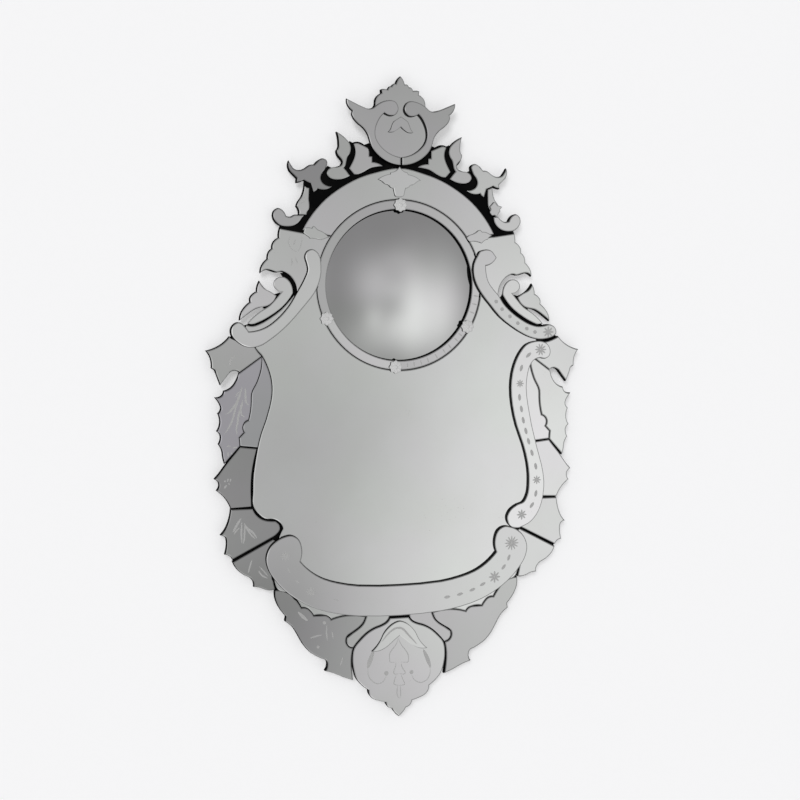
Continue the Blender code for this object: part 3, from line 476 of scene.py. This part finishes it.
def dome_ring(k, thick):
    """The k-th ring from the crown, on the glass's front or that thickness behind it."""
    r, off = (DOME_RIM, DOME_OFF) if k == DOME_RINGS - PAINTED_RINGS else (dome_reach * k / DOME_RINGS, (0, 0))
    ring = []
    for a in (2 * math.pi * n / DOME_TURNS for n in range(DOME_TURNS)):
        x, z = r * math.cos(a) + off[0], r * math.sin(a) + off[1]
        y = dome_rim_y - (math.sqrt(dome_ball ** 2 - x * x - z * z) - (dome_ball - dome_rise)) + thick
        ring.append(shape.verts.new((dome_middle[0] + x, y, dome_middle[1] + z)))
    return ring


front_rings = [dome_ring(k, 0.0) for k in range(DOME_RINGS, 0, -1)]
crown = [shape.verts.new((dome_middle[0], dome_low.y + thick, dome_middle[1])) for thick in (0.0, DOME_WALL)]
back_rings = [dome_ring(k, DOME_WALL) for k in range(1, DOME_RINGS + 1)][::-1]
for rings, tip, material in ((front_rings, crown[0], 0), (back_rings, crown[1], 1)):
    for k, (outer, inner) in enumerate(zip(rings, rings[1:])):
        for n in range(DOME_TURNS):
            m = (n + 1) % DOME_TURNS
            face = shape.faces.new((outer[n], outer[m], inner[m], inner[n]))
            face.material_index, face.smooth = 2 if material == 0 and k < PAINTED_RINGS else material, True
    for n in range(DOME_TURNS):
        face = shape.faces.new((rings[-1][n], rings[-1][(n + 1) % DOME_TURNS], tip))
        face.material_index, face.smooth = material, True
for n in range(DOME_TURNS):
    m = (n + 1) % DOME_TURNS
    face = shape.faces.new((front_rings[0][n], front_rings[0][m], back_rings[0][m], back_rings[0][n]))
    face.material_index = 1
bmesh.ops.recalc_face_normals(shape, faces=shape.faces)
dome_silver = silvered_glass("convex_mirror_silver", (0.90, 0.90, 0.90), dust=0.05, ripple=0.00002)
dome = in_scene("bulged_mirror", shape, (dome_silver, ground_edge, board_paint))
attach(dome, "root")
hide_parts("convex_mirror")

# ---- Ring strips ----
# Four bent strips of mirror glass that hold the convex mirror in, butted at the rosettes. The two right ones
# are crossed by short cuts of the wheel, like the rungs of a ladder.
# Each strip's silver tone also carries painted reflection: how light or dark that strip's reflection is drawn.
RING_SILVER_AND_PAINTED_REFLECTION = {"ring_strip_upper_left": 0.77, "ring_strip_upper_right": 0.85,
               "ring_strip_lower_left": 0.98, "ring_strip_lower_right": 0.80}
for node, tone in RING_SILVER_AND_PAINTED_REFLECTION.items():
    flat_plate(node, (tone, tone, tone))

MIDDLE_Z = -0.330              # the cutter's marks are measured in mm from the mirror's middle
CUT_STEP = 1.4                 # mm between two sections of a stroke
CUT_PROUD = 0.00009            # a shallow cut is drawn as a ridge this high, with its root in the glass
CUT_EDGE = 0.00002
CUT_ROOT = 0.00010
CUT_WELD = 0.000003
STAR_HOLE = 0.04               # share of a star's reach at which its rays begin
STAR_FULL = 2.5                # the rays' widths together, as a share of its reach
wheel_cut_frost = grained_surface("wheel_cut_frost", 1400.0, 3.0, ((0.54, 0.54, 0.53), (0.70, 0.70, 0.70)),
                                  (0.45, 0.7), 0.00003, Metallic=0.55)


def drawn_stroke(points):
    """The wheel's path through its points, as a smooth curve in short steps."""
    knots = [np.array(p, float) for p in points]
    knots = [2 * knots[0] - knots[1]] + knots + [2 * knots[-1] - knots[-2]]
    path = []
    for a, b, c, d in zip(knots, knots[1:], knots[2:], knots[3:]):
        for t in np.linspace(0, 1, max(2, round(np.linalg.norm(c - b) / CUT_STEP)), endpoint=False):
            path.append(b + t / 2 * (c - a + t * (2 * a - 5 * b + 4 * c - d + t * (3 * b - a - 3 * c + d))))
    return np.array(path + [knots[-2]])


def wheel_cuts(node, strokes):
    """The cutter's strokes on the face of a piece, each (width, points) in mm; one point alone is a round dot."""
    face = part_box(node)[0].y
    shape = bmesh.new()
    for width, points in strokes:
        if len(points) == 1:
            points = [(points[0][0] - width / 2, points[0][1]), (points[0][0] + width / 2, points[0][1])]
        path = drawn_stroke(points)
        along = np.gradient(path, axis=0)
        along /= np.linalg.norm(along, axis=1)[:, None]
        across = np.stack([-along[:, 1], along[:, 0]], 1)
        share = np.linspace(0, 1, len(path))
        half = width / 2 * np.sin(np.pi * share) ** 0.5
        sections = []
        for spot, side, h in zip(path, across, half):
            section = []
            for k, y in ((-1, CUT_ROOT), (-1, -CUT_EDGE), (0, -CUT_PROUD), (1, -CUT_EDGE), (1, CUT_ROOT)):
                x, z = (spot + side * h * k) / 1000
                section.append(shape.verts.new((x, face + y, z + MIDDLE_Z)))
            sections.append(section)
        for a, b in zip(sections, sections[1:]):
            for k in range(len(a)):
                m = (k + 1) % len(a)
                shape.faces.new((a[k], a[m], b[m], b[k]))
    bmesh.ops.remove_doubles(shape, verts=shape.verts, dist=CUT_WELD)
    bmesh.ops.recalc_face_normals(shape, faces=shape.faces)
    cuts = in_scene(node + "_wheel_cuts", shape, [wheel_cut_frost])
    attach(cuts, "root")


def wheel_star(x, z, reach, rays=8):
    """A star of strokes that run out from one point."""
    strokes = []
    for a in (2 * math.pi * n / rays for n in range(rays)):
        ends = [(x + reach * k * math.cos(a), z + reach * k * math.sin(a)) for k in (STAR_HOLE, 1.0)]
        strokes.append((reach * STAR_FULL / rays, ends))
    return strokes


def wheel_row(marks, length, width):
    """Strokes in a row, each turned along the line from the mark before it to the mark after it. A mark that
    isn't a stroke only leads the row, as a star does."""
    strokes = []
    for n, (x, z, cut) in enumerate(marks):
        (ax, az, _), (bx, bz, _) = marks[max(0, n - 1)], marks[min(len(marks) - 1, n + 1)]
        away = math.hypot(bx - ax, bz - az)
        dx, dz = (bx - ax) / away * length / 2, (bz - az) / away * length / 2
        if cut:
            strokes.append((width, [(x - dx, z - dz), (x + dx, z + dz)]))
    return strokes


LADDER = {"ring_strip_upper_right": ((184, 247), (180, 228), (176, 208)),
          "ring_strip_lower_right": ((144, 158), (138, 143), (120, 130), (106, 119), (88, 106), (67, 98), (51, 92),
                                     (34, 88), (18, 85))}
RUNG_RADIUS = 187.0            # mm from the ring's middle to the middle of a rung
RUNG_HALF = 6.5
RUNG_WIDTH = 2.8
ring_middle = np.array((0, ((dome_low.z + dome_high.z) / 2 - MIDDLE_Z) * 1000))
for node, rungs in LADDER.items():
    cuts = []
    for rung in rungs:
        outward = rung - ring_middle
        outward /= np.linalg.norm(outward)
        spot = outward * RUNG_RADIUS + ring_middle
        cuts.append((RUNG_WIDTH, [spot - outward * RUNG_HALF, spot + outward * RUNG_HALF]))
    wheel_cuts(node, cuts)

# ---- Arch over the ring ----
# A shaped band of mirror glass that follows the ring's upper half between the main mirror and the crest.
flat_plate("arch_band", (0.90, 0.90, 0.90))

# ---- Crest, tulips, flames and thistles ----
# The top of the mirror: a lyre-shaped crest plate with a pair of flower-shaped plates, a flame and a thistle
# on each side, each cut from flat mirror glass and glued to the board with a black joint between them.
# Each plate's silver tone also carries painted reflection: how light or dark its reflection is drawn, the left
# thistle darkest.
CREST_SILVER_AND_PAINTED_REFLECTION = {"crest_plate": 0.81, "tulip_left": 0.86, "tulip_right": 0.81, "flame_left": 0.81,
                "flame_right": 0.85, "thistle_left": 0.55, "thistle_right": 0.95}
for node, tone in CREST_SILVER_AND_PAINTED_REFLECTION.items():
    flat_plate(node, (tone, tone, tone))

# ---- Shoulders, curls, small scrolls and side leaves ----
# The plates that step out from the arch to the sides, cut as scrolls and pointed leaves.
# Each plate's silver tone also carries painted reflection: how light or dark its reflection is drawn.
SHOULDER_SILVER_AND_PAINTED_REFLECTION = {"curl_left": 0.77, "curl_right": 0.95, "shoulder_left": 0.89, "shoulder_right": 0.97,
                   "small_scroll_left": 0.98, "small_scroll_right": 0.98, "side_leaf_left": 0.97,
                   "side_leaf_right": 0.89, "left_fillet": 0.96}
for node, tone in SHOULDER_SILVER_AND_PAINTED_REFLECTION.items():
    flat_plate(node, (tone, tone, tone))
wheel_cuts("shoulder_left", [
    (2, [(-259, 379), (-262, 363), (-254, 349), (-243, 344)]), (2.5, [(-246, 372), (-251, 358)]),
    (2, [(-231, 379), (-234, 358), (-241, 343)]), (2.5, [(-257, 330), (-254, 319), (-257, 312)]),
    (2, [(-248, 333), (-241, 317)])])

# ---- Side lobes and inner lobes ----
# Scalloped plates down both sides of the main mirror. The left ones are given darker silver tones, painted shade
# for their darker reflection, two of them slightly violet, and carry light strokes of the cutter's wheel: sprays of
# grass and short dashes.
LOBE_SILVER_AND_PAINTED_REFLECTION = {
    "lobe_1_left": (0.76, 0.76, 0.76), "lobe_2_left": (0.68, 0.67, 0.71), "lobe_3_left": (0.53, 0.53, 0.53),
    "lobe_4_left": (0.56, 0.56, 0.56), "lobe_5_left": (0.57, 0.57, 0.57), "inner_lobe_left": (0.66, 0.66, 0.68),
    "lobe_1_right": (0.92, 0.92, 0.92), "lobe_2_right": (0.95, 0.95, 0.95), "lobe_3_right": (0.92, 0.92, 0.92),
    "lobe_4_right": (0.84, 0.84, 0.84), "lobe_5_right": (0.84, 0.84, 0.84), "inner_lobe_right": (0.98, 0.98, 0.98)}
for node, silver in LOBE_SILVER_AND_PAINTED_REFLECTION.items():
    flat_plate(node, silver)
wheel_cuts("lobe_1_left", [(5, [(-385, 109), (-395, 98), (-397, 86)])])
wheel_cuts("lobe_2_left", [
    (5.4, [(-369, 39), (-376, 17), (-381, 4), (-391, -10), (-399, -19), (-407, -23)]),
    (4.1, [(-374, 15), (-381, 0), (-387, -18), (-391, -34), (-398, -49), (-405, -61), (-410, -68)]),
    (4.7, [(-369, 10), (-369, 0), (-373, -11), (-378, -26), (-380, -42), (-383, -57), (-381, -70)]),
    (4.7, [(-362, 37), (-362, 22), (-361, 5), (-357, -1), (-354, -3)]),
    (4.1, [(-369, 5), (-373, -9), (-371, -24), (-364, -30)]),
    (2.7, [(-376, 28), (-381, 22), (-385, 15)]),
    (3.4, [(-405, -95), (-396, -95)]), (3.4, [(-392, -99), (-381, -98)]), (3.4, [(-402, -108), (-402, -119)]),
    (2.7, [(-395, -109), (-393, -114)])])
wheel_cuts("lobe_3_left", [
    (3.4, [(-410, -172), (-409, -177)]), (3.4, [(-402, -168), (-404, -176)]), (3.4, [(-396, -169), (-398, -176)]),
    (4.1, [(-406, -183), (-411, -191)]), (2.7, [(-401, -178), (-400, -183)])])
wheel_cuts("lobe_4_left", [
    (5.4, [(-373, -260), (-383, -275), (-392, -292)]), (3.4, [(-377, -282), (-384, -288), (-390, -296)]),
    (4.1, [(-372, -268), (-373, -294), (-372, -319)]), (4.1, [(-365, -276), (-366, -301), (-368, -319)]),
    (4.7, [(-367, -272), (-359, -284), (-347, -294), (-337, -308)]),
    (3.4, [(-364, -281), (-351, -299), (-341, -309)])])
wheel_cuts("lobe_5_left", [
    (3.4, [(-349, -356), (-354, -372), (-358, -387)]), (3.4, [(-335, -382), (-326, -394), (-313, -401)]),
    (2.7, [(-333, -372), (-320, -387), (-312, -397)])])

# ---- Rods ----
# The short stems of mirror glass between each thistle and its curl. A knot is cut across the left one.
ROD_BEVEL = 0.0018
for node in ("rod_left", "rod_right"):
    flat_plate(node, (0.88, 0.88, 0.88), bevel=ROD_BEVEL)
wheel_cuts("rod_left", [
    (2.2, [(-235, 452), (-228, 456), (-222, 462)]), (2.2, [(-236, 459), (-230, 462), (-224, 468)])])

# ---- Wings, collars and palmette ----
# The foot of the mirror: a wing and a collar on each side, and a palmette that hangs below them.
# Each plate's silver tone also carries painted reflection: how light or dark its reflection is drawn, the left wing
# darkest.
FOOT_SILVER_AND_PAINTED_REFLECTION = {"bottom_wing_left": 0.59, "bottom_wing_right": 0.65, "collar_left": 0.73, "collar_right": 0.69,
               "palmette": 0.82}
for node, tone in FOOT_SILVER_AND_PAINTED_REFLECTION.items():
    flat_plate(node, (tone, tone, tone))
wheel_cuts("bottom_wing_left", [
    (7, [(-243, -483), (-231, -496), (-220, -506)]), (8, [(-181, -513)]),
    (3, [(-175, -518), (-176, -535), (-174, -556)]),
    (3.5, [(-215, -547), (-200, -543), (-186, -541)]), (7, [(-196, -569)]), (3, [(-163, -535), (-160, -551)]),
    (3, [(-143, -618), (-140, -607), (-137, -597)])])
LILY_WIDTH = 2.2
LILY = ([(-3, -560), (-8, -575), (-20, -590), (-24, -599), (-24, -613), (-22, -617), (-9, -618)],
        [(-3, -560), (4, -576), (16, -592), (22, -604), (22, -616), (20, -620), (4, -619)],
        [(-8, -618), (-9, -627), (-14, -642), (-10, -647), (-1, -646)],
        [(4, -619), (7, -632), (15, -645), (9, -648), (-1, -646)],
        [(-8, -648), (-13, -666), (-12, -671), (-1, -675)], [(4, -649), (10, -664), (13, -673), (-1, -675)],
        [(-4, -675), (-6, -692), (-3, -702), (1, -706)], [(3, -676), (3, -684), (3, -699), (1, -706)])
wheel_cuts("palmette", [(LILY_WIDTH, stroke) for stroke in LILY] + [
    (11, [(-63, -587), (-68, -601), (-73, -614), (-77, -629)]),
    (9.5, [(59, -592), (68, -612), (74, -628), (77, -638)]),
    (2.2, [(-77, -627), (-76, -643), (-70, -655), (-56, -666), (-42, -664), (-34, -654), (-31, -646)]),
    (2.2, [(76, -637), (76, -651), (70, -664), (58, -671), (46, -670), (35, -661), (31, -651)]),
    (11, [(-32, -643)]), (10, [(30, -645)])])

# ---- Raised scrolls ----
# Narrow scrolls that stand 9 mm proud of the plates: a strip of bevelled mirror glass, glued on a black
# painted wooden pad that shows as a black line round it.
PAD_MARGIN = 0.0010            # the pad stands out this far round its strip
PAD_HEIGHT = 0.0045
SCROLL_BEVEL = 0.0019
SCROLL_DROP = 0.0007
pad_paint, tree, shader = surface("pad_black_paint", Specular_IOR_Level=0.08)
paint = place_effect(tree, brushed_paint, Paint=(0.002, 0.002, 0.002, 1), Sheen_Low=0.25, Sheen_High=0.5)
finish_surface(tree, shader, paint, 0.0001)


def raised_scroll(node, silver):
    """A strip of mirror glass on its pad, in the place of the CAD node."""
    low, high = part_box(node)
    face = silvered_glass(node + "_silver", silver)
    piece = laid_up(node + "_on_its_pad", [curved(loop) for loop in front_loops(node)], [
        (0.0, high.y, 2), (0.0, high.y - PAD_HEIGHT, 2), (PAD_MARGIN, high.y - PAD_HEIGHT, 2),
        (PAD_MARGIN, low.y + SCROLL_DROP, 1), (PAD_MARGIN + SCROLL_BEVEL, low.y, 0)],
        [face, ground_edge, pad_paint], back=2)
    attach(piece, "root")
    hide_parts(node)


# Each strip's silver tone also carries painted reflection: how light or dark its reflection is drawn.
SCROLL_SILVER_AND_PAINTED_REFLECTION = {"crest_scroll_left": 0.79, "crest_scroll_right": 0.73, "long_scroll_left": 0.98,
                 "long_scroll_right": 0.87, "s_scroll_right": 0.98, "bottom_band": 0.81}
for node, tone in SCROLL_SILVER_AND_PAINTED_REFLECTION.items():
    raised_scroll(node, (tone, tone, tone))

# Each row is its marks as (x, z, 1 for a stroke or 0 for the place of a star).
LONG_SCROLL_ROW = ((233, 234, 1), (248, 216, 1), (268, 199, 1), (288, 183, 1), (311, 170, 1), (332, 162, 1),
                   (368, 161, 0))
wheel_cuts("long_scroll_right", wheel_row(LONG_SCROLL_ROW, 10, 9) + wheel_star(366, 162, 14))
S_SCROLL_ROW = ((348, 122, 0), (316, 107, 1), (298, 76, 1), (295, 39, 0), (294, 6, 1), (299, -22, 1), (304, -49, 1),
                (311, -75, 1), (318, -100, 1), (327, -128, 1), (337, -161, 1), (340, -194, 0), (338, -227, 1),
                (328, -255, 1), (302, -277, 0))
wheel_cuts("s_scroll_right", wheel_row(S_SCROLL_ROW, 17, 7.5) + wheel_star(347, 120, 15, rays=10)
           + wheel_star(295, 39, 10) + wheel_star(340, -194, 11) + wheel_star(302, -277, 13))
BAND_ROW_RIGHT = ((277, -345, 0), (270, -380, 1), (257, -402, 1), (234, -425, 0), (204, -441, 1), (178, -453, 1),
                  (147, -462, 1), (115, -467, 1), (85, -470, 0))
BAND_ROW_LEFT = ((-274, -350, 0), (-266, -384, 1), (-246, -411, 1), (-215, -436, 0), (-155, -458, 1),
                 (-120, -466, 0))
wheel_cuts("bottom_band", wheel_row(BAND_ROW_RIGHT, 16, 7) + wheel_star(277, -345, 18, rays=12)
           + wheel_star(234, -425, 15) + wheel_row(BAND_ROW_LEFT, 13, 3)
           + wheel_star(-274, -350, 12) + wheel_star(-215, -436, 11))

# ---- Leaves, sprigs and the star ----
# Small pieces of 4 mm mirror glass laid on the plates: a leaf on the arch, the crest and the palmette, a sprig
# over each end of the arch and a star on the right stem.
LEAF_BEVEL = 0.0015
# Each piece's silver tone also carries painted reflection: how light or dark its reflection is drawn.
LEAF_SILVER_AND_PAINTED_REFLECTION = {"arch_leaf": 0.98, "crest_leaf": 0.80, "palmette_leaf": 0.90, "sprig_left": 0.88,
               "sprig_right": 0.88, "star_right": 0.88}
for node, tone in LEAF_SILVER_AND_PAINTED_REFLECTION.items():
    flat_plate(node, (tone, tone, tone), bevel=LEAF_BEVEL)
wheel_cuts("palmette_leaf", [
    (5, [(-45, -567), (-30, -549), (-16, -538), (-4, -535), (8, -539), (25, -558), (43, -578)])])

# ---- Rosettes ----
# Four pressed glass flowers of eight petals, 29 mm across, each glued over a joint of the ring.
ROSETTE_TURNS = 144
ROSETTE_PROFILE = (  # its rings from the back to the front, as shares of its radius and its thickness
    (1.0, 0.0), (1.0, 0.52), (0.90, 0.66), (0.84, 0.70), (0.40, 0.73), (0.28, 0.74), (0.20, 0.88), (0.10, 0.90))
ROSETTE_PETALS = 8
ROSETTE_WAVE = 0.0011          # half the depth of the notch between two petals
GROOVE_DEPTH = 0.00045         # of the groove that runs inwards from the notch
GROOVE_START = 0.3             # share of the radius where the groove begins
ROSETTE_SIDE = 0.55            # faces in this share of the thickness, from the back, are blackened
pressed_glass = grained_surface("pressed_silvered_glass", 30.0, 1.0, ((0.78, 0.78, 0.775), (0.84, 0.84, 0.84)),
                                (0.22, 0.42), 0.00003, Metallic=0.4)
for node in ("rosette_top", "rosette_right", "rosette_bottom", "rosette_left"):
    low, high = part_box(node)
    middle = Vector(((low.x + high.x) / 2, 0, (low.z + high.z) / 2))
    radius, turned = max((math.hypot(v.co.x - middle.x, v.co.z - middle.z),
                          math.atan2(v.co.z - middle.z, v.co.x - middle.x))
                         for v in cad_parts[node].data.vertices)
    shape = bmesh.new()
    rings = []
    for share, rise in ROSETTE_PROFILE:
        ring = []
        for n in range(ROSETTE_TURNS):
            a = 2 * math.pi * n / ROSETTE_TURNS
            petal = math.cos(ROSETTE_PETALS * (a - turned))
            r = share * (radius - ROSETTE_WAVE * (1 - petal) * share ** 3)
            groove = 0
            if share > GROOVE_START:
                along = min(1, (share - GROOVE_START) / (1 - GROOVE_START))
                groove = GROOVE_DEPTH * max(0, -petal) ** 2 * math.sin(math.pi * along) ** 0.5
            y = high.y - (high.y - low.y) * rise + groove
            ring.append(shape.verts.new((middle.x + r * math.cos(a), y, middle.z + r * math.sin(a))))
        rings.append(ring)
    for outer, inner in zip(rings, rings[1:]):
        for n in range(ROSETTE_TURNS):
            m = (n + 1) % ROSETTE_TURNS
            shape.faces.new((outer[n], outer[m], inner[m], inner[n])).smooth = True
    shape.faces.new(rings[0])
    shape.faces.new(rings[-1])
    for face in shape.faces:
        if face.calc_center_median().y > high.y - ROSETTE_SIDE * (high.y - low.y):
            face.material_index = 1
    for n in range(ROSETTE_TURNS):
        shape.edges.get((rings[1][n], rings[1][(n + 1) % ROSETTE_TURNS])).smooth = False
    bmesh.ops.recalc_face_normals(shape, faces=shape.faces)
    flower = in_scene(node + "_flower", shape, (pressed_glass, ground_edge))
    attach(flower, "root")
    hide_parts(node)

# ---- Wall, floor and light ----
# A plain pale wall just behind the batten, a pale floor below, and soft light from the upper left. The glass
# shows the room in front of it as soft patches of light, brightest to the right and low down. Two more, far
# to the left and near the floor, are seen only in the convex mirror and the bevels.
WALL_Y = 0.001
FLOOR_Z = -1.90
WALL_TOP = 4
STAGE_REACH = 6
WALL_TONES = ((0.64, 0.64, 0.65, 1), (0.66, 0.66, 0.67, 1))
pale_wall, tree, shader = surface("pale_wall", Roughness=0.9, Specular_IOR_Level=0.1,
                                  Emission_Color=(1, 1, 1, 1), Emission_Strength=0.36)
place = add(tree, "TexCoord").outputs["Object"]
grain = add(tree, "TexNoise", {"Vector": place, "Scale": 60.0, "Detail": 4.0}).outputs["Fac"]
tone = add(tree, "ValToRGB", {"Fac": grain})
tone.color_ramp.elements[0].color, tone.color_ramp.elements[1].color = WALL_TONES
tree.links.new(tone.outputs["Color"], shader.inputs["Base Color"])
pale_floor = pale_wall.copy()
pale_floor.name = "pale_floor"
see_through = add(tree, "BsdfTransparent").outputs[0]
from_behind = add(tree, "NewGeometry").outputs["Backfacing"]
one_sided = add(tree, "MixShader", {0: from_behind, 1: shader.outputs[0], 2: see_through}).outputs[0]
tree.links.new(one_sided, tree.nodes["Material Output"].inputs["Surface"])
wall_foot = [(-STAGE_REACH, WALL_Y, FLOOR_Z), (STAGE_REACH, WALL_Y, FLOOR_Z)]
for name, corners, material in (
        ("wall", wall_foot + [(STAGE_REACH, WALL_Y, WALL_TOP), (-STAGE_REACH, WALL_Y, WALL_TOP)], pale_wall),
        ("floor", [(-STAGE_REACH, -STAGE_REACH, FLOOR_Z), (STAGE_REACH, -STAGE_REACH, FLOOR_Z)] + wall_foot[::-1],
         pale_floor)):
    mesh = bpy.data.meshes.new(name)
    mesh.from_pydata(corners, [], [(0, 1, 2, 3)])
    mesh.materials.append(material)
    stage = bpy.data.objects.new(name, mesh)
    bpy.context.scene.collection.objects.link(stage)
    stage.visible_glossy = False
    stage.visible_diffuse = False
    stage.visible_shadow = False

LAMPS = (  # name, strength, width in degrees, direction towards it
    ("window_light", 1.22, 20, (-0.36, -0.86, 0.36)),
    ("fill_light", 0.50, 130, (0.0, -1.0, 0.15)),
)
for name, strength, spread, towards in LAMPS:
    lamp = bpy.data.objects.new(name, bpy.data.lights.new(name, "SUN"))
    lamp.data.energy = strength
    lamp.data.angle = math.radians(spread)
    lamp.matrix_world = Vector(towards).to_track_quat("Z", "Y").to_matrix().to_4x4()
    lamp.visible_glossy = False
    bpy.context.scene.collection.objects.link(lamp)

ROOM_BASE = 0.245              # brightness of the room between its lights
BACKDROP = (0.90, 0.90, 0.91, 1)       # what the camera sees beside the wall
ROOM_LIGHTS = (  # strength, azimuth to the right and elevation in degrees, spread across and up
    (0.264, 19.7, -6.2, 0.098, 0.277),
    (0.236, 5.9, 1.7, 0.160, 0.182),
    (0.467, 30.1, -7.4, 0.191, 0.289),
    (0.234, 10.3, -16.4, 0.221, 0.128),
    (0.085, 13.5, -12.0, 0.075, 0.085),
    (0.065, 14.0, 11.0, 0.100, 0.100),
    (0.120, 5.2, -10.5, 0.070, 0.085),
    (0.048, 12.5, 0.0, 0.070, 0.070),
    (0.600, -31.0, 0.0, 0.170, 0.550),
    (0.600, -13.0, -42.0, 0.340, 0.220),
)
room = bpy.data.worlds.new("room")
room.use_nodes = True
tree = room.node_tree
direction = add(tree, "TexCoord").outputs["Generated"]
total = ROOM_BASE
for strength, azimuth, elevation, across, up in ROOM_LIGHTS:
    azimuth, elevation = math.radians(azimuth), math.radians(elevation)
    level = math.cos(elevation)
    centre = (math.sin(azimuth) * level, -math.cos(azimuth) * level, math.sin(elevation))
    shrink = (1 / across, 2 / (across + up), 1 / up)
    away = add(tree, "VectorMath", {0: direction, 1: centre}, operation="SUBTRACT").outputs[0]
    away = add(tree, "VectorMath", {0: away, 1: shrink}, operation="MULTIPLY").outputs[0]
    away = add(tree, "VectorMath", {0: away, 1: away}, operation="DOT_PRODUCT").outputs["Value"]
    away = add(tree, "Math", {0: away, 1: -1.0}, operation="MULTIPLY").outputs[0]
    fade = add(tree, "Math", {0: away}, operation="EXPONENT").outputs[0]
    total = add(tree, "Math", {0: fade, 1: strength, 2: total}, operation="MULTIPLY_ADD").outputs[0]
room_glow = tree.nodes["Background"]
tree.links.new(total, room_glow.inputs["Color"])
backdrop = add(tree, "Background", {"Color": BACKDROP})
seen_straight = add(tree, "LightPath").outputs["Is Camera Ray"]
mixed = add(tree, "MixShader", {0: seen_straight, 1: room_glow.outputs[0], 2: backdrop.outputs[0]}).outputs[0]
tree.links.new(mixed, tree.nodes["World Output"].inputs["Surface"])
bpy.context.scene.world = room
bpy.context.scene.view_settings.view_transform = "Standard"
